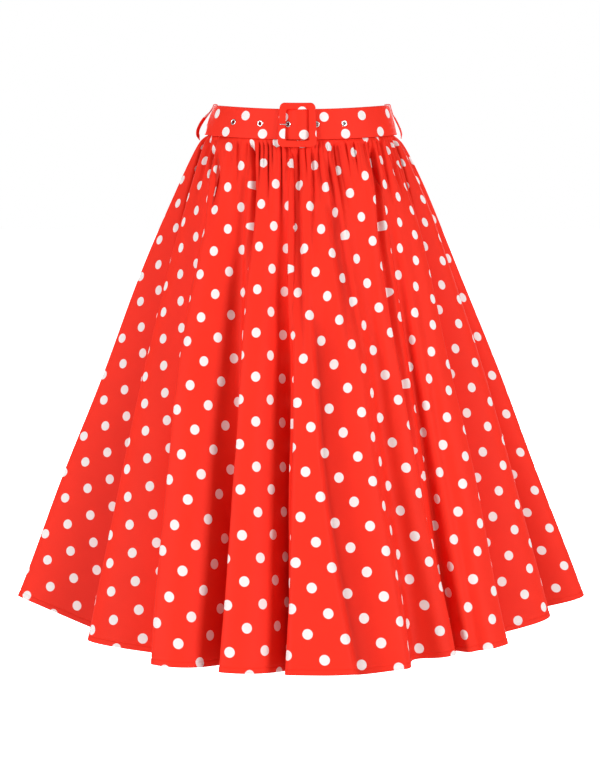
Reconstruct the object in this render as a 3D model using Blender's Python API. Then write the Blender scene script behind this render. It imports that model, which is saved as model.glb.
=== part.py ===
"""Belted circle skirt: gathered, gored cloth hanging in deep folds from a waistband, with a
buckled belt in two loops and a concealed zip at the centre back.

Units are metres, +Z up, the front faces -Y and +X is the viewer's right. The origin is the
centre of the waist, at the middle of the waistband's height.
"""

import math

import bmesh
import bpy
from mathutils import Vector

MM = 0.001
GAP = 0.0003                 # between touching pieces


def rows_of(table, columns):
    """A table's rows as dictionaries, keyed by its column names."""
    return [dict(zip(columns, row)) for row in table]


# --- driving sizes of the waist ---------------------------------------------------------
WAIST_TOP = (0.1162, 0.0870)      # half width, half depth of the band's outer face, at its top
WAIST_BOTTOM = (0.1255, 0.0920)   # the same at its bottom
BAND_HALF_HEIGHT = 0.0195
BAND_THICKNESS = 0.0024
WAIST_SIDE_RISE = 0.0034          # the waist line is this high at the hips
WAIST_FRONT_DIP = 0.0052          # and this much lower at the front and the back

# --- driving sizes of the skirt ---------------------------------------------------------
CLOTH = 0.0012                    # wall thickness of the cloth
SKIRT_TOP_Z = -0.0202
SKIRT_TOP_INSET = 0.0009          # middle of the cloth, inside the waistband's outer face
HEM_Z = -0.675
FLARE = 0.385                     # outward run for each metre of drop
PUFFS = ((0.009, 0.004), (0.010, 0.050))    # (extra run, drop that it takes): gathers, hip
PUFF_AT_FRONT = 0.4               # share of the puffs at the front and back
SEAM_HALF_GAP = 0.0002
STEPS_PER_FOLD = 5                # columns between one fold knot and the next
ROW_SHARES = (0.0, 0.012, 0.04, 0.12, 0.35, 0.65, 1.0)   # rows, as shares of the drop

# Each row is one fold edge: its place on the waist (degrees from the front, to the right),
# its place at the hem (x, y), how far the cloth runs along the hem line before and after it
# turns (lead, follow), how much the edge bows sideways half-way down, and how much higher
# than the hem line it ends.
FOLD_COLUMNS = ("name", "waist", "x", "y", "lead", "follow", "bow", "lift")
FOLDS = (
    ("a_ridge", -91.0, -0.390, -0.085, 0.06, 0.04, -0.001, 0.031),
    ("a_valley", -88.0, -0.258, -0.150, 0.05, 0.05, 0.0, -0.007),
    ("b_ridge", -85.0, -0.278, -0.206, 0.07, 0.12, -0.006, 0.0),
    ("b_valley", -66.0, -0.160, -0.252, 0.05, 0.06, 0.0, -0.007),
    ("c_ridge", -62.0, -0.185, -0.314, 0.08, 0.20, -0.012, -0.001),
    ("c_valley", -36.0, -0.088, -0.268, 0.03, 0.05, 0.0, -0.012),
    ("d_ridge", -30.0, -0.098, -0.338, 0.06, 0.20, 0.003, -0.004),
    ("d_valley", -10.0, -0.004, -0.272, 0.03, 0.04, 0.0, -0.018),
    ("e_ridge", -6.0, -0.012, -0.346, 0.08, 0.09, 0.003, -0.005),
    ("e_middle", 4.0, 0.055, -0.346, 0.06, 0.06, 0.0, -0.005),
    ("e_edge", 16.0, 0.132, -0.328, 0.10, 0.05, -0.006, -0.002),
    ("e_valley", 25.0, 0.148, -0.270, 0.05, 0.05, 0.0, -0.006),
    ("f_ridge", 41.0, 0.191, -0.268, 0.07, 0.07, -0.008, -0.003),
    ("f_valley", 48.0, 0.197, -0.226, 0.04, 0.05, 0.0, -0.008),
    ("g_middle", 58.0, 0.226, -0.244, 0.07, 0.05, 0.0, -0.003),
    ("g_ridge", 74.0, 0.267, -0.224, 0.13, 0.07, 0.004, 0.0),
    ("g_valley", 77.0, 0.252, -0.138, 0.04, 0.05, 0.0, -0.013),
    ("h_ridge", 83.0, 0.342, -0.084, 0.13, 0.07, 0.012, 0.001),
    ("h_valley", 86.0, 0.320, -0.010, 0.04, 0.05, 0.0, -0.011),
    ("i_ridge", 91.0, 0.405, 0.030, 0.12, 0.10, 0.002, 0.004),
    ("i_valley", 93.5, 0.338, 0.078, 0.05, 0.05, 0.0, -0.010),
    ("j_ridge", 96.0, 0.372, 0.142, 0.09, 0.09, 0.0, 0.0),
    ("j_valley", 99.0, 0.292, 0.165, 0.05, 0.05, 0.0, -0.012),
    ("k_ridge", 104.0, 0.300, 0.236, 0.09, 0.10, 0.0, 0.0),
    ("k_valley", 110.0, 0.215, 0.226, 0.05, 0.05, 0.0, -0.012),
    ("l_ridge", 118.0, 0.205, 0.302, 0.09, 0.11, 0.0, 0.0),
    ("l_valley", 130.0, 0.128, 0.266, 0.05, 0.05, 0.0, -0.013),
    ("m_ridge", 142.0, 0.098, 0.344, 0.09, 0.10, 0.0, 0.0),
    ("m_valley", 156.0, 0.046, 0.284, 0.05, 0.05, 0.0, -0.013),
    ("n_ridge", 180.0, 0.000, 0.350, 0.08, 0.08, 0.0, 0.0),
    ("n_valley", 200.0, -0.060, 0.282, 0.05, 0.05, 0.0, -0.013),
    ("o_ridge", 214.0, -0.112, 0.338, 0.10, 0.09, 0.0, 0.0),
    ("o_valley", 226.0, -0.146, 0.262, 0.05, 0.05, 0.0, -0.013),
    ("p_ridge", 238.0, -0.222, 0.294, 0.10, 0.09, 0.0, 0.0),
    ("p_valley", 248.0, -0.228, 0.214, 0.05, 0.05, 0.0, -0.012),
    ("q_ridge", 256.0, -0.312, 0.222, 0.10, 0.09, 0.0, 0.0),
    ("q_valley", 261.0, -0.298, 0.148, 0.05, 0.05, 0.0, -0.012),
    ("r_ridge", 264.0, -0.376, 0.120, 0.10, 0.09, 0.0, 0.0),
    ("r_valley", 266.5, -0.342, 0.050, 0.05, 0.05, 0.0, -0.008),
)
# Each gore runs from one fold edge to another, to the viewer's right round the waist.
GORE_COLUMNS = ("node", "starts_at", "ends_at")
GORES = (
    ("skirt_front", "b_valley", "f_valley"),
    ("skirt_side_right", "f_valley", "k_valley"),
    ("skirt_back_right", "k_valley", "n_ridge"),
    ("skirt_back_left", "n_ridge", "p_valley"),
    ("skirt_side_left", "p_valley", "b_valley"),
)

# --- driving sizes of the belt and buckle -----------------------------------------------
BELT_HALF_HEIGHT = 0.0200
BELT_THICKNESS = 1.8 * MM
BELT_END_THICKNESS = 1.0 * MM     # where the fixed end wraps the bar
BELT_STAND_LEFT = 0.0050          # how far the belt's lower edge stands off at the left hip
BELT_STAND_RIGHT = 0.0020
BUCKLE_TURN = -2.2                # degrees from the front
BUCKLE_Z = -0.0006                # middle of the frame, from the belt's middle
FRAME_HALF = (0.0254, 0.0290)     # half width, half height, outside
OPENING_HALF = (0.0160, 0.0212)   # half width, half height of the opening
FRAME_CORNER = 0.0070
OPENING_CORNER = 0.0030
FRAME_BACK = 6.5 * MM             # from the waistband's outer face
FRAME_FRONT = 9.5 * MM
FRAME_TILT = 1.4 * MM             # how much further out its lower edge stands
# The centre bar behind the frame: (height, depth from the waistband's outer face) in mm
BAR_PATH = ((-25.6, 8.2), (-24.0, 4.9), (-21.9, 2.8), (22.2, 2.8), (23.6, 4.4), (24.6, 7.6))
BAR_RADIUS = 1.0 * MM
PRONG_RADIUS = 0.7 * MM
EYELET_HOLE = 2.3 * MM
EYELET_BARREL = 2.6 * MM
EYELET_FLANGE = 4.0 * MM
BELT_HOLE = 2.95 * MM
EYELET_TURNS = (-47.1, -26.2, -8.0, 9.5, 27.4)   # degrees from the front

# The belt's path: millimetres along the front from the buckle's bar, depth of the strip's
# middle from the waistband in mm, and the strip's thickness. The tables are read as rows
# with named columns.
BELT_COLUMNS = ("along_mm", "depth_mm", "thick")
FIXED_END_ROWS = (
    (13.0, 3.0, BELT_END_THICKNESS),
    (7.0, 4.0, BELT_END_THICKNESS),
    (3.0, 4.7, BELT_END_THICKNESS),
    (0.0, 4.75, BELT_END_THICKNESS),
    (-1.6, 4.1, BELT_END_THICKNESS),
    (-2.1, 2.8, BELT_END_THICKNESS),
    (-1.6, 1.5, BELT_END_THICKNESS),
    (0.0, 0.85, BELT_END_THICKNESS),
    (4.0, 0.9, BELT_END_THICKNESS),
    (9.0, 1.4, BELT_THICKNESS),
)
FREE_END_ROWS = (
    (-55.0, 1.4, BELT_THICKNESS),
    (-40.0, 1.6, BELT_THICKNESS),
    (-31.0, 3.2, BELT_THICKNESS),
    (-26.0, 4.1, BELT_THICKNESS),
    (-16.5, 4.3, BELT_THICKNESS),
    (-12.0, 4.6, BELT_THICKNESS),
    (-7.7, 4.95, BELT_THICKNESS),
    (-4.5, 5.9, BELT_THICKNESS),
    (0.0, 6.7, BELT_THICKNESS),
    (6.0, 6.3, BELT_THICKNESS),
    (13.0, 5.0, BELT_THICKNESS),
    (17.0, 4.4, BELT_THICKNESS),
    (26.0, 4.2, BELT_THICKNESS),
    (34.0, 3.7, BELT_THICKNESS),
)
FIXED_END = rows_of(FIXED_END_ROWS, BELT_COLUMNS)
FREE_END = rows_of(FREE_END_ROWS, BELT_COLUMNS)
BELT_STEP = 6.0                   # degrees between stations round the waist
TIP_TURN = 101.0                  # where the free end stops
# its section: (share of the half height, share of the thickness)
BELT_CORNERS = ((-1, 0.5), (0, 0.5), (1, 0.5), (1, -0.5), (0, -0.5), (-1, -0.5))

# The prong's wire: (mm along from the bar, depth in mm).
PRONG_PATH = (
    (1.7, 1.9), (2.0, 2.9), (1.3, 4.4), (-0.6, 4.8), (-3.5, 4.1), (-6.5, 3.1), (-9.8, 2.5),
    (-12.0, 2.9), (-13.0, 4.7), (-13.2, 7.0), (-13.5, 9.6), (-14.6, 11.2), (-17.0, 11.6),
    (-21.0, 11.4), (-24.0, 11.15),
)

# --- driving sizes of the belt loops ----------------------------------------------------
LOOP_WIDTH = 0.0060
LOOP_THICKNESS = 0.0012
LOOP_COLUMNS = ("depth_mm", "height_mm")
# (depth from the waistband's outer face at its middle, height above its middle line), in mm
LOOP_LEFT = (
    (-6.6, 20.45), (-5.0, 20.8), (-3.3, 21.0), (-1.4, 20.6), (-0.5, 18.4), (1.2, 15.0),
    (4.4, 10.5), (10.8, 3.2), (16.0, -4.2), (19.8, -11.6), (21.1, -17.7), (19.9, -23.6),
    (18.3, -27.4),
)
LOOP_RIGHT = (
    (-6.6, 20.45), (-5.0, 20.8), (-2.5, 21.0), (0.7, 20.7), (1.7, 18.2), (3.0, 14.0),
    (4.7, 9.5), (6.9, 4.3), (12.3, -6.1), (15.9, -14.5), (17.0, -20.0), (16.6, -25.4),
)
LOOP_LEFT_TURN = -90.0
LOOP_RIGHT_TURN = 90.0

# --- driving sizes of the zip -----------------------------------------------------------
ZIP_SHARES = (0.016, 0.04, 0.08, 0.12, 0.20, 0.28)   # its length, as shares of the drop
ZIP_TAPE_HALF_WIDTH = 0.011
ZIP_TAPE_THICKNESS = 0.0010
SLIDER_SHARE = 0.024
SLIDER_SIZE = (0.0070, 0.0110, 0.0026)     # across, along the zip, outwards
SLIDER_LIFT = 0.0005                       # its underside, above the seam
ARCH_HALF = 0.0022                         # half length of the arch under its bridge
ARCH_HEIGHT = 0.0024
BRIDGE_HALF = 0.0006                       # half width of the bridge
BRIDGE_THICKNESS = 0.0011
PULL_SIZE = (0.0062, 0.0210, 0.0012)       # across, along, thick
PULL_CROSSBAR = 0.0012                     # the bar of the pull that lies under the bridge
PULL_EYE_HALF = 0.0011                     # half width of the hole round the bridge
PULL_EYE_END = 0.0046                      # how far the hole runs along the tab

# --- colours ----------------------------------------------------------------------------
RED_CLOTH = ((0.86, 0.045, 0.022, 1.0), 0.72, 0.0)
RED_COVER = ((0.88, 0.050, 0.024, 1.0), 0.62, 0.0)
SILVER = ((0.80, 0.80, 0.79, 1.0), 0.25, 1.0)
RED_ZIP = ((0.62, 0.03, 0.02, 1.0), 0.55, 0.0)


def smooth(value):
    """Ease from 0 to 1."""
    return (1.0 - math.cos(math.pi * value)) / 2.0


# --- materials and meshes ---------------------------------------------------------------
def material(name, look):
    colour, roughness, metallic = look
    made = bpy.data.materials.new(name)
    made.use_nodes = True
    shader = made.node_tree.nodes["Principled BSDF"]
    shader.inputs["Base Color"].default_value = colour
    shader.inputs["Roughness"].default_value = roughness
    shader.inputs["Metallic"].default_value = metallic
    made.diffuse_color = colour
    return made


def add_object(name, points, faces, look, smooth_shading=True):
    """One named object, with one material, its faces turned to point outwards."""
    mesh = bpy.data.meshes.new(name)
    mesh.from_pydata([tuple(p) for p in points], [], faces)
    body = bmesh.new()
    body.from_mesh(mesh)
    bmesh.ops.recalc_face_normals(body, faces=body.faces)
    if body.calc_volume(signed=True) < 0.0:
        bmesh.ops.reverse_faces(body, faces=body.faces)
    body.to_mesh(mesh)
    body.free()
    if smooth_shading:
        mesh.shade_smooth()
        mesh.set_sharp_from_angle(angle=math.radians(50))
    made = bpy.data.objects.new(name, mesh)
    made.data.materials.append(material(name, look))
    bpy.context.scene.collection.objects.link(made)
    return made


def cut(target, cutter):
    """Take the cutter's shape out of the target with a Boolean modifier."""
    cutter.hide_render = True
    cutter.display_type = "WIRE"
    boolean = target.modifiers.new("cut_" + cutter.name, "BOOLEAN")
    boolean.operation = "DIFFERENCE"
    boolean.solver = "EXACT"
    boolean.object = cutter


def closed_strip(sections):
    """Points and faces of a bar through four-sided or rounder sections, with flat ends."""
    sides = len(sections[0])
    points = [corner for section in sections for corner in section]
    faces = []
    for station in range(len(sections) - 1):
        here = station * sides
        there = here + sides
        for side in range(sides):
            other = (side + 1) % sides
            faces.append((here + side, here + other, there + other, there + side))
    faces.append(tuple(range(sides)))
    last = (len(sections) - 1) * sides
    faces.append(tuple(last + side for side in reversed(range(sides))))
    return points, faces


def closed_ring(sections):
    """Points and faces of a tube that closes on itself."""
    sides = len(sections[0])
    count = len(sections)
    points = [corner for section in sections for corner in section]
    faces = []
    for station in range(count):
        here = station * sides
        there = ((station + 1) % count) * sides
        for side in range(sides):
            other = (side + 1) % sides
            faces.append((here + side, here + other, there + other, there + side))
    return points, faces


# --- the waist --------------------------------------------------------------------------
def waist_height(turn):
    """How much higher the waist line is at this turn, in radians from the front."""
    return WAIST_SIDE_RISE - WAIST_FRONT_DIP * math.cos(turn) ** 2


def waist_point(degrees, height, depth):
    """A point at a turn from the front, a height on the band and a depth out of it."""
    turn = math.radians(degrees)
    share = (BELT_HALF_HEIGHT - height) / (2.0 * BELT_HALF_HEIGHT)
    wide = WAIST_TOP[0] + (WAIST_BOTTOM[0] - WAIST_TOP[0]) * share
    deep = WAIST_TOP[1] + (WAIST_BOTTOM[1] - WAIST_TOP[1]) * share
    outward = Vector((math.sin(turn) / wide, -math.cos(turn) / deep, 0.0)).normalized()
    place = Vector((wide * math.sin(turn), -deep * math.cos(turn), 0.0))
    place += outward * depth
    place.z = height + waist_height(turn)
    return place


def belt_point(degrees, height, depth):
    """As waist_point, with the lower edge standing off at the hips."""
    sine = math.sin(math.radians(degrees))
    stand = BELT_STAND_LEFT if sine < 0.0 else BELT_STAND_RIGHT
    up = (height + BELT_HALF_HEIGHT) / (2.0 * BELT_HALF_HEIGHT)
    return waist_point(degrees, height, depth + stand * sine ** 4 * (1.0 - up * up))


def belt_radius(depth):
    """Metres along the front for each radian of turn, at a depth out of the waistband."""
    return (WAIST_TOP[0] + WAIST_BOTTOM[0]) / 2.0 + depth


def turn_along(along, depth):
    """The turn in degrees at a distance along the front from the buckle's bar."""
    return BUCKLE_TURN + math.degrees(along / belt_radius(depth))


def buckle_point(along, height, depth):
    return waist_point(turn_along(along, depth), height, depth)


# --- the skirt's surface ----------------------------------------------------------------
FOLD_ROWS = rows_of(FOLDS, FOLD_COLUMNS)
FOLD_INDEX = {fold["name"]: place for place, fold in enumerate(FOLD_ROWS)}


def run_out(drop, turn):
    """How far the cloth has run outwards at a drop below its top edge."""
    puffs = sum(run * (1.0 - math.exp(-drop / over)) for run, over in PUFFS)
    side = math.sin(math.radians(turn)) ** 2
    return FLARE * drop + puffs * (PUFF_AT_FRONT + (1.0 - PUFF_AT_FRONT) * side)


def hem_direction(fold):
    """Along the hem to the viewer's right, square to the way out from the centre."""
    return Vector((-fold["y"], fold["x"], 0.0)).normalized()


def skirt_point(place, share):
    """The middle of the cloth at a place round the folds and a share of the drop."""
    count = len(FOLD_ROWS)
    first = FOLD_ROWS[int(place) % count]
    second = FOLD_ROWS[(int(place) + 1) % count]
    part = place - int(place)
    waist_end = second["waist"] + (360.0 if second["waist"] < first["waist"] else 0.0)
    turn = first["waist"] + (waist_end - first["waist"]) * part
    top = waist_point(turn, SKIRT_TOP_Z, -SKIRT_TOP_INSET)

    # a cubic from one fold edge to the next, so that the cloth turns round each edge
    square, cube = part * part, part * part * part
    hem = Vector((first["x"], first["y"], 0.0)) * (2.0 * cube - 3.0 * square + 1.0)
    hem += Vector((second["x"], second["y"], 0.0)) * (3.0 * square - 2.0 * cube)
    hem += hem_direction(first) * first["follow"] * (cube - 2.0 * square + part)
    hem += hem_direction(second) * second["lead"] * (cube - square)

    ease = smooth(part)
    lift = first["lift"] + (second["lift"] - first["lift"]) * ease
    bow = first["bow"] + (second["bow"] - first["bow"]) * ease
    full_drop = top.z - (HEM_Z + lift)
    mean_drop = SKIRT_TOP_Z - HEM_Z
    out = run_out(share * mean_drop, turn) / run_out(mean_drop, turn)
    x = top.x + (hem.x - top.x) * out + bow * math.sin(math.pi * share)
    y = top.y + (hem.y - top.y) * out
    return Vector((x, y, top.z - full_drop * share))


def skirt_side(place, share):
    """Along the row to the viewer's right, and out of the cloth, both level."""
    step = 0.01
    along = skirt_point(place + step, share) - skirt_point(place - step, share)
    along.z = 0.0
    along.normalize()
    return along, Vector((along.y, -along.x, 0.0))


def cloth_points(place, share, shift=0.0, lift=0.0):
    """The cloth's outer and inner points at a place, moved along or out of the cloth."""
    along, outward = skirt_side(place, share)
    middle = skirt_point(place, share) + along * shift + outward * lift
    return middle + outward * (CLOTH / 2.0), middle - outward * (CLOTH / 2.0)


def panel_point(place, share):
    """The middle of the cloth on the flat facets between its columns and rows."""
    low_row = max(row for row in ROW_SHARES[:-1] if row <= share)
    high_row = min(row for row in ROW_SHARES if row > low_row)
    part = (share - low_row) / (high_row - low_row)
    low = math.floor(place * STEPS_PER_FOLD + 1e-6) / STEPS_PER_FOLD
    high = low + 1.0 / STEPS_PER_FOLD
    across = (place - low) / (high - low)
    upper = skirt_point(low, low_row).lerp(skirt_point(high, low_row), across)
    lower = skirt_point(low, high_row).lerp(skirt_point(high, high_row), across)
    return upper.lerp(lower, part)


def gore_places(start, end):
    """Places of a gore's columns, from its first fold edge to its last."""
    first = FOLD_INDEX[start]
    last = FOLD_INDEX[end]
    if last <= first:
        last += len(FOLD_ROWS)
    count = (last - first) * STEPS_PER_FOLD
    return [first + (last - first) * column / count for column in range(count + 1)]


def make_gore(node, start, end):
    places = gore_places(start, end)
    columns = len(places)
    outer, inner = [], []
    for share in ROW_SHARES:
        for column, place in enumerate(places):
            shift = 0.0
            if column == 0:
                shift = SEAM_HALF_GAP
            elif column == columns - 1:
                shift = -SEAM_HALF_GAP
            place = place % len(FOLD_ROWS) if place >= 1.0 else place
            out_point, in_point = cloth_points(place, share, shift)
            outer.append(out_point)
            inner.append(in_point)
    points = outer + inner
    back = len(outer)
    faces = []
    rows = len(ROW_SHARES)
    for row in range(rows - 1):
        for column in range(columns - 1):
            a = row * columns + column
            b, c, d = a + 1, a + columns + 1, a + columns
            # both faces of the wall are split along one diagonal, so it keeps its thickness
            for one, two, three in ((a, b, c), (a, c, d)):
                faces.append((one, two, three))
                faces.append((back + three, back + two, back + one))
    for column in range(columns - 1):
        top = column
        hem = (rows - 1) * columns + column
        faces.append((top, back + top, back + top + 1, top + 1))
        faces.append((hem, hem + 1, back + hem + 1, back + hem))
    for row in range(rows - 1):
        left = row * columns
        right = left + columns - 1
        faces.append((left, left + columns, back + left + columns, back + left))
        faces.append((right, back + right, back + right + columns, right + columns))
    return add_object(node, points, faces, RED_CLOTH)


def make_waistband():
    """A band from one side of the centre-back opening round to the other."""
    sections = []
    opening = math.degrees(SEAM_HALF_GAP / WAIST_BOTTOM[0])
    steps = 64
    for step in range(steps + 1):
        turn = -180.0 + opening + (360.0 - 2.0 * opening) * step / steps
        low, high = -BAND_HALF_HEIGHT, BAND_HALF_HEIGHT
        sections.append([
            waist_point(turn, low, 0.0), waist_point(turn, high, 0.0),
            waist_point(turn, high, -BAND_THICKNESS), waist_point(turn, low, -BAND_THICKNESS),
        ])
    points, faces = closed_strip(sections)
    return add_object("waistband", points, faces, RED_CLOTH)


# --- belt, buckle, prong and eyelets ----------------------------------------------------
def belt_stations():
    """The belt's path as (turn, depth, thickness) from its fixed end to its tip."""
    stations = []
    for row in FIXED_END:
        depth = row["depth_mm"] * MM
        stations.append((turn_along(row["along_mm"] * MM, depth), depth, row["thick"]))
    start, under = stations[-1][0], stations[-1][1]
    end = 360.0 + turn_along(FREE_END[0]["along_mm"] * MM, under)
    steps = round((end - start) / BELT_STEP)
    for step in range(1, steps):
        stations.append((start + (end - start) * step / steps, under, BELT_THICKNESS))
    for row in FREE_END:
        depth = row["depth_mm"] * MM
        stations.append((360.0 + turn_along(row["along_mm"] * MM, depth), depth, row["thick"]))
    start, over = stations[-1][0], stations[-1][1]
    end = 360.0 + TIP_TURN
    steps = round((end - start) / BELT_STEP)
    for step in range(1, steps + 1):
        stations.append((start + (end - start) * step / steps, over, BELT_THICKNESS))
    return stations


def path_point(turn, depth):
    """A point on the belt's middle line, level with the waist."""
    return belt_point(turn, 0.0, depth)


def make_belt():
    stations = belt_stations()
    middles = [path_point(turn, depth) for turn, depth, _ in stations]
    sections = []
    for place, (turn, depth, thick) in enumerate(stations):
        before = middles[max(place - 1, 0)]
        after = middles[min(place + 1, len(middles) - 1)]
        along = (after - before)
        along.z = 0.0
        along.normalize()
        side = Vector((along.y, -along.x, 0.0))
        section = []
        for height, face in BELT_CORNERS:
            corner = belt_point(turn, height * BELT_HALF_HEIGHT, depth) + side * face * thick
            section.append(corner)
        sections.append(section)
    points, faces = closed_strip(sections)
    belt = add_object("belt", points, faces, RED_CLOTH)
    for number, turn in enumerate(EYELET_TURNS, start=1):
        cut(belt, hole_cutter(number, turn))
    cut(belt, slot_cutter())
    return belt


def strap_depth(turn):
    """Depth of the free strap's middle where it carries an eyelet."""
    if turn <= turn_along(FREE_END[0]["along_mm"] * MM, FREE_END[0]["depth_mm"] * MM):
        return FREE_END[0]["depth_mm"] * MM
    for low, high in zip(FREE_END, FREE_END[1:]):
        low_depth, high_depth = low["depth_mm"] * MM, high["depth_mm"] * MM
        low_turn = turn_along(low["along_mm"] * MM, low_depth)
        high_turn = turn_along(high["along_mm"] * MM, high_depth)
        if turn <= high_turn:
            return low_depth + (high_depth - low_depth) * (turn - low_turn) / (high_turn - low_turn)
    return FREE_END[-1]["depth_mm"] * MM


def eyelet_frame(turn):
    """Centre and axes (along the belt, up the belt, out of it) of an eyelet."""
    depth = strap_depth(turn)
    centre = belt_point(turn, 0.0, depth)
    reach = math.degrees(EYELET_FLANGE / belt_radius(depth))
    ahead = belt_point(turn + reach, 0.0, strap_depth(turn + reach))
    behind = belt_point(turn - reach, 0.0, strap_depth(turn - reach))
    along = (ahead - behind).normalized()
    up = (belt_point(turn, BELT_HALF_HEIGHT, depth) -
          belt_point(turn, -BELT_HALF_HEIGHT, depth)).normalized()
    return centre, along, up, along.cross(up).normalized()


def turned(frame, profile, sides):
    """Sections of a ring turned about the frame's axis, through (radius, height) points."""
    centre, along, up, out = frame
    sections = []
    for side in range(sides):
        angle = 2.0 * math.pi * side / sides
        way = along * math.cos(angle) + up * math.sin(angle)
        sections.append([centre + way * radius + out * height for radius, height in profile])
    return sections


def hole_cutter(number, turn):
    frame = eyelet_frame(turn)
    centre, along, up, out = frame
    sides, reach = 16, 2.0 * MM
    rings = []
    for height in (-reach, reach):
        ring = []
        for side in range(sides):
            angle = 2.0 * math.pi * side / sides
            way = along * math.cos(angle) + up * math.sin(angle)
            ring.append(centre + way * BELT_HOLE + out * height)
        rings.append(ring)
    points, faces = closed_strip(rings)
    return add_object("hole_cutter_%d" % number, points, faces, RED_CLOTH, False)


def slot_cutter():
    """The slot in the belt's fixed end that the prong turns in."""
    half_height, reach = 2.2 * MM, 3.2 * MM
    inner, outer = 0.2 * MM, 5.5 * MM
    sections = []
    for along in (-reach, reach):
        sections.append([
            buckle_point(along, -half_height, outer), buckle_point(along, half_height, outer),
            buckle_point(along, half_height, inner), buckle_point(along, -half_height, inner),
        ])
    points, faces = closed_strip(sections)
    return add_object("slot_cutter", points, faces, RED_CLOTH, False)


def make_eyelet(number, turn):
    face = BELT_THICKNESS / 2.0 + 0.25 * MM
    profile = [
        (EYELET_HOLE, -BELT_THICKNESS / 2.0), (EYELET_BARREL, -BELT_THICKNESS / 2.0),
        (EYELET_BARREL, face), (EYELET_FLANGE, face),
        (EYELET_FLANGE - 0.4 * MM, face + 0.4 * MM),
        (EYELET_HOLE + 0.5 * MM, face + 0.55 * MM), (EYELET_HOLE, face + 0.2 * MM),
    ]
    points, faces = closed_ring(turned(eyelet_frame(turn), profile, 16))
    return add_object("eyelet_%d" % number, points, faces, SILVER)


def rounded_outline(half_width, half_height, corner, corner_steps):
    """Points (along, height) round a rectangle with round corners."""
    outline = []
    for quarter, (side_x, side_z) in enumerate(((1, 1), (-1, 1), (-1, -1), (1, -1))):
        for step in range(corner_steps + 1):
            angle = math.radians(90.0 * (quarter + step / corner_steps))
            x = side_x * (half_width - corner) + corner * math.cos(angle)
            z = side_z * (half_height - corner) + corner * math.sin(angle)
            outline.append((x, z))
    return outline


def frame_tilt(height):
    return FRAME_TILT * (0.5 - height / (2.0 * FRAME_HALF[1]))


def make_buckle_frame():
    outside = rounded_outline(*FRAME_HALF, FRAME_CORNER, 5)
    inside = rounded_outline(*OPENING_HALF, OPENING_CORNER, 5)
    # (share of the way from the outside to the opening, depth) round the covered bar
    round_over = 0.9 * MM
    section_shape = (
        (0.10, FRAME_BACK), (0.0, FRAME_BACK + round_over), (0.0, FRAME_FRONT - round_over),
        (0.12, FRAME_FRONT), (0.88, FRAME_FRONT), (1.0, FRAME_FRONT - round_over),
        (1.0, FRAME_BACK + round_over), (0.90, FRAME_BACK),
    )
    sections = []
    for (out_x, out_z), (in_x, in_z) in zip(outside, inside):
        section = []
        for share, depth in section_shape:
            along = out_x + (in_x - out_x) * share
            height = BUCKLE_Z + out_z + (in_z - out_z) * share
            section.append(buckle_point(along, height, depth + frame_tilt(height)))
        sections.append(section)
    points, faces = closed_ring(sections)
    frame = add_object("buckle_frame", points, faces, RED_COVER)
    join_bar(frame)
    return frame


def join_bar(frame):
    """The centre bar, and the two feet that carry it from the back of the frame."""
    middles = [buckle_point(0.0, height * MM, depth * MM) for height, depth in BAR_PATH]
    points, faces = tube(middles, BAR_RADIUS, 10)
    bar = add_object("bar_cutter", points, faces, RED_COVER, False)
    bar.hide_render = True
    bar.display_type = "WIRE"
    union = frame.modifiers.new("bar", "BOOLEAN")
    union.operation = "UNION"
    union.solver = "EXACT"
    union.object = bar


def tube(middles, radius, sides):
    """Points and faces of a round wire through a list of points."""
    sections = []
    guide = None
    for place, middle in enumerate(middles):
        before = middles[max(place - 1, 0)]
        after = middles[min(place + 1, len(middles) - 1)]
        along = (after - before).normalized()
        if guide is None:
            guide = along.orthogonal().normalized()
        guide = (guide - along * guide.dot(along)).normalized()
        other = along.cross(guide)
        section = []
        for side in range(sides):
            angle = 2.0 * math.pi * side / sides
            section.append(middle + (guide * math.cos(angle) + other * math.sin(angle)) * radius)
        sections.append(section)
    return closed_strip(sections)


def make_prong():
    middles = [buckle_point(along * MM, 0.0, depth * MM) for along, depth in PRONG_PATH]
    points, faces = tube(middles, PRONG_RADIUS, 8)
    return add_object("buckle_prong", points, faces, SILVER)


# --- belt loops -------------------------------------------------------------------------
def make_loop(node, turn, table):
    rows = rows_of(table, LOOP_COLUMNS)
    half = math.degrees(LOOP_WIDTH / 2.0 / WAIST_TOP[1])
    profile = [Vector((row["depth_mm"] * MM, row["height_mm"] * MM)) for row in rows]
    sections = []
    for place, here in enumerate(profile):
        along = (profile[min(place + 1, len(profile) - 1)] - profile[max(place - 1, 0)])
        along.normalize()
        across = Vector((-along.y, along.x)) * (LOOP_THICKNESS / 2.0)
        section = []
        for side_turn, face in ((-half, 1), (half, 1), (half, -1), (-half, -1)):
            flat = here + across * face
            level = Vector((0.0, 0.0, flat.y)) + waist_point(turn, 0.0, flat.x)
            spread = waist_point(turn + side_turn, 0.0, 0.0) - waist_point(turn, 0.0, 0.0)
            level.y += spread.y
            section.append(level)
        sections.append(section)
    points, faces = closed_strip(sections)
    return add_object(node, points, faces, RED_CLOTH)


# --- zip --------------------------------------------------------------------------------
def zip_frame(share):
    """A point on the outside of the centre-back seam, with down, across and outwards."""
    place = FOLD_INDEX["n_ridge"]
    step = 0.004
    point = panel_point(place, share)
    down = (panel_point(place, share + step) - panel_point(place, share - step)).normalized()
    across = Vector((1.0, 0.0, 0.0))
    out = down.cross(across).normalized()
    if out.y < 0.0:
        out.negate()
    return point + out * (CLOTH / 2.0), down, across, out


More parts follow.
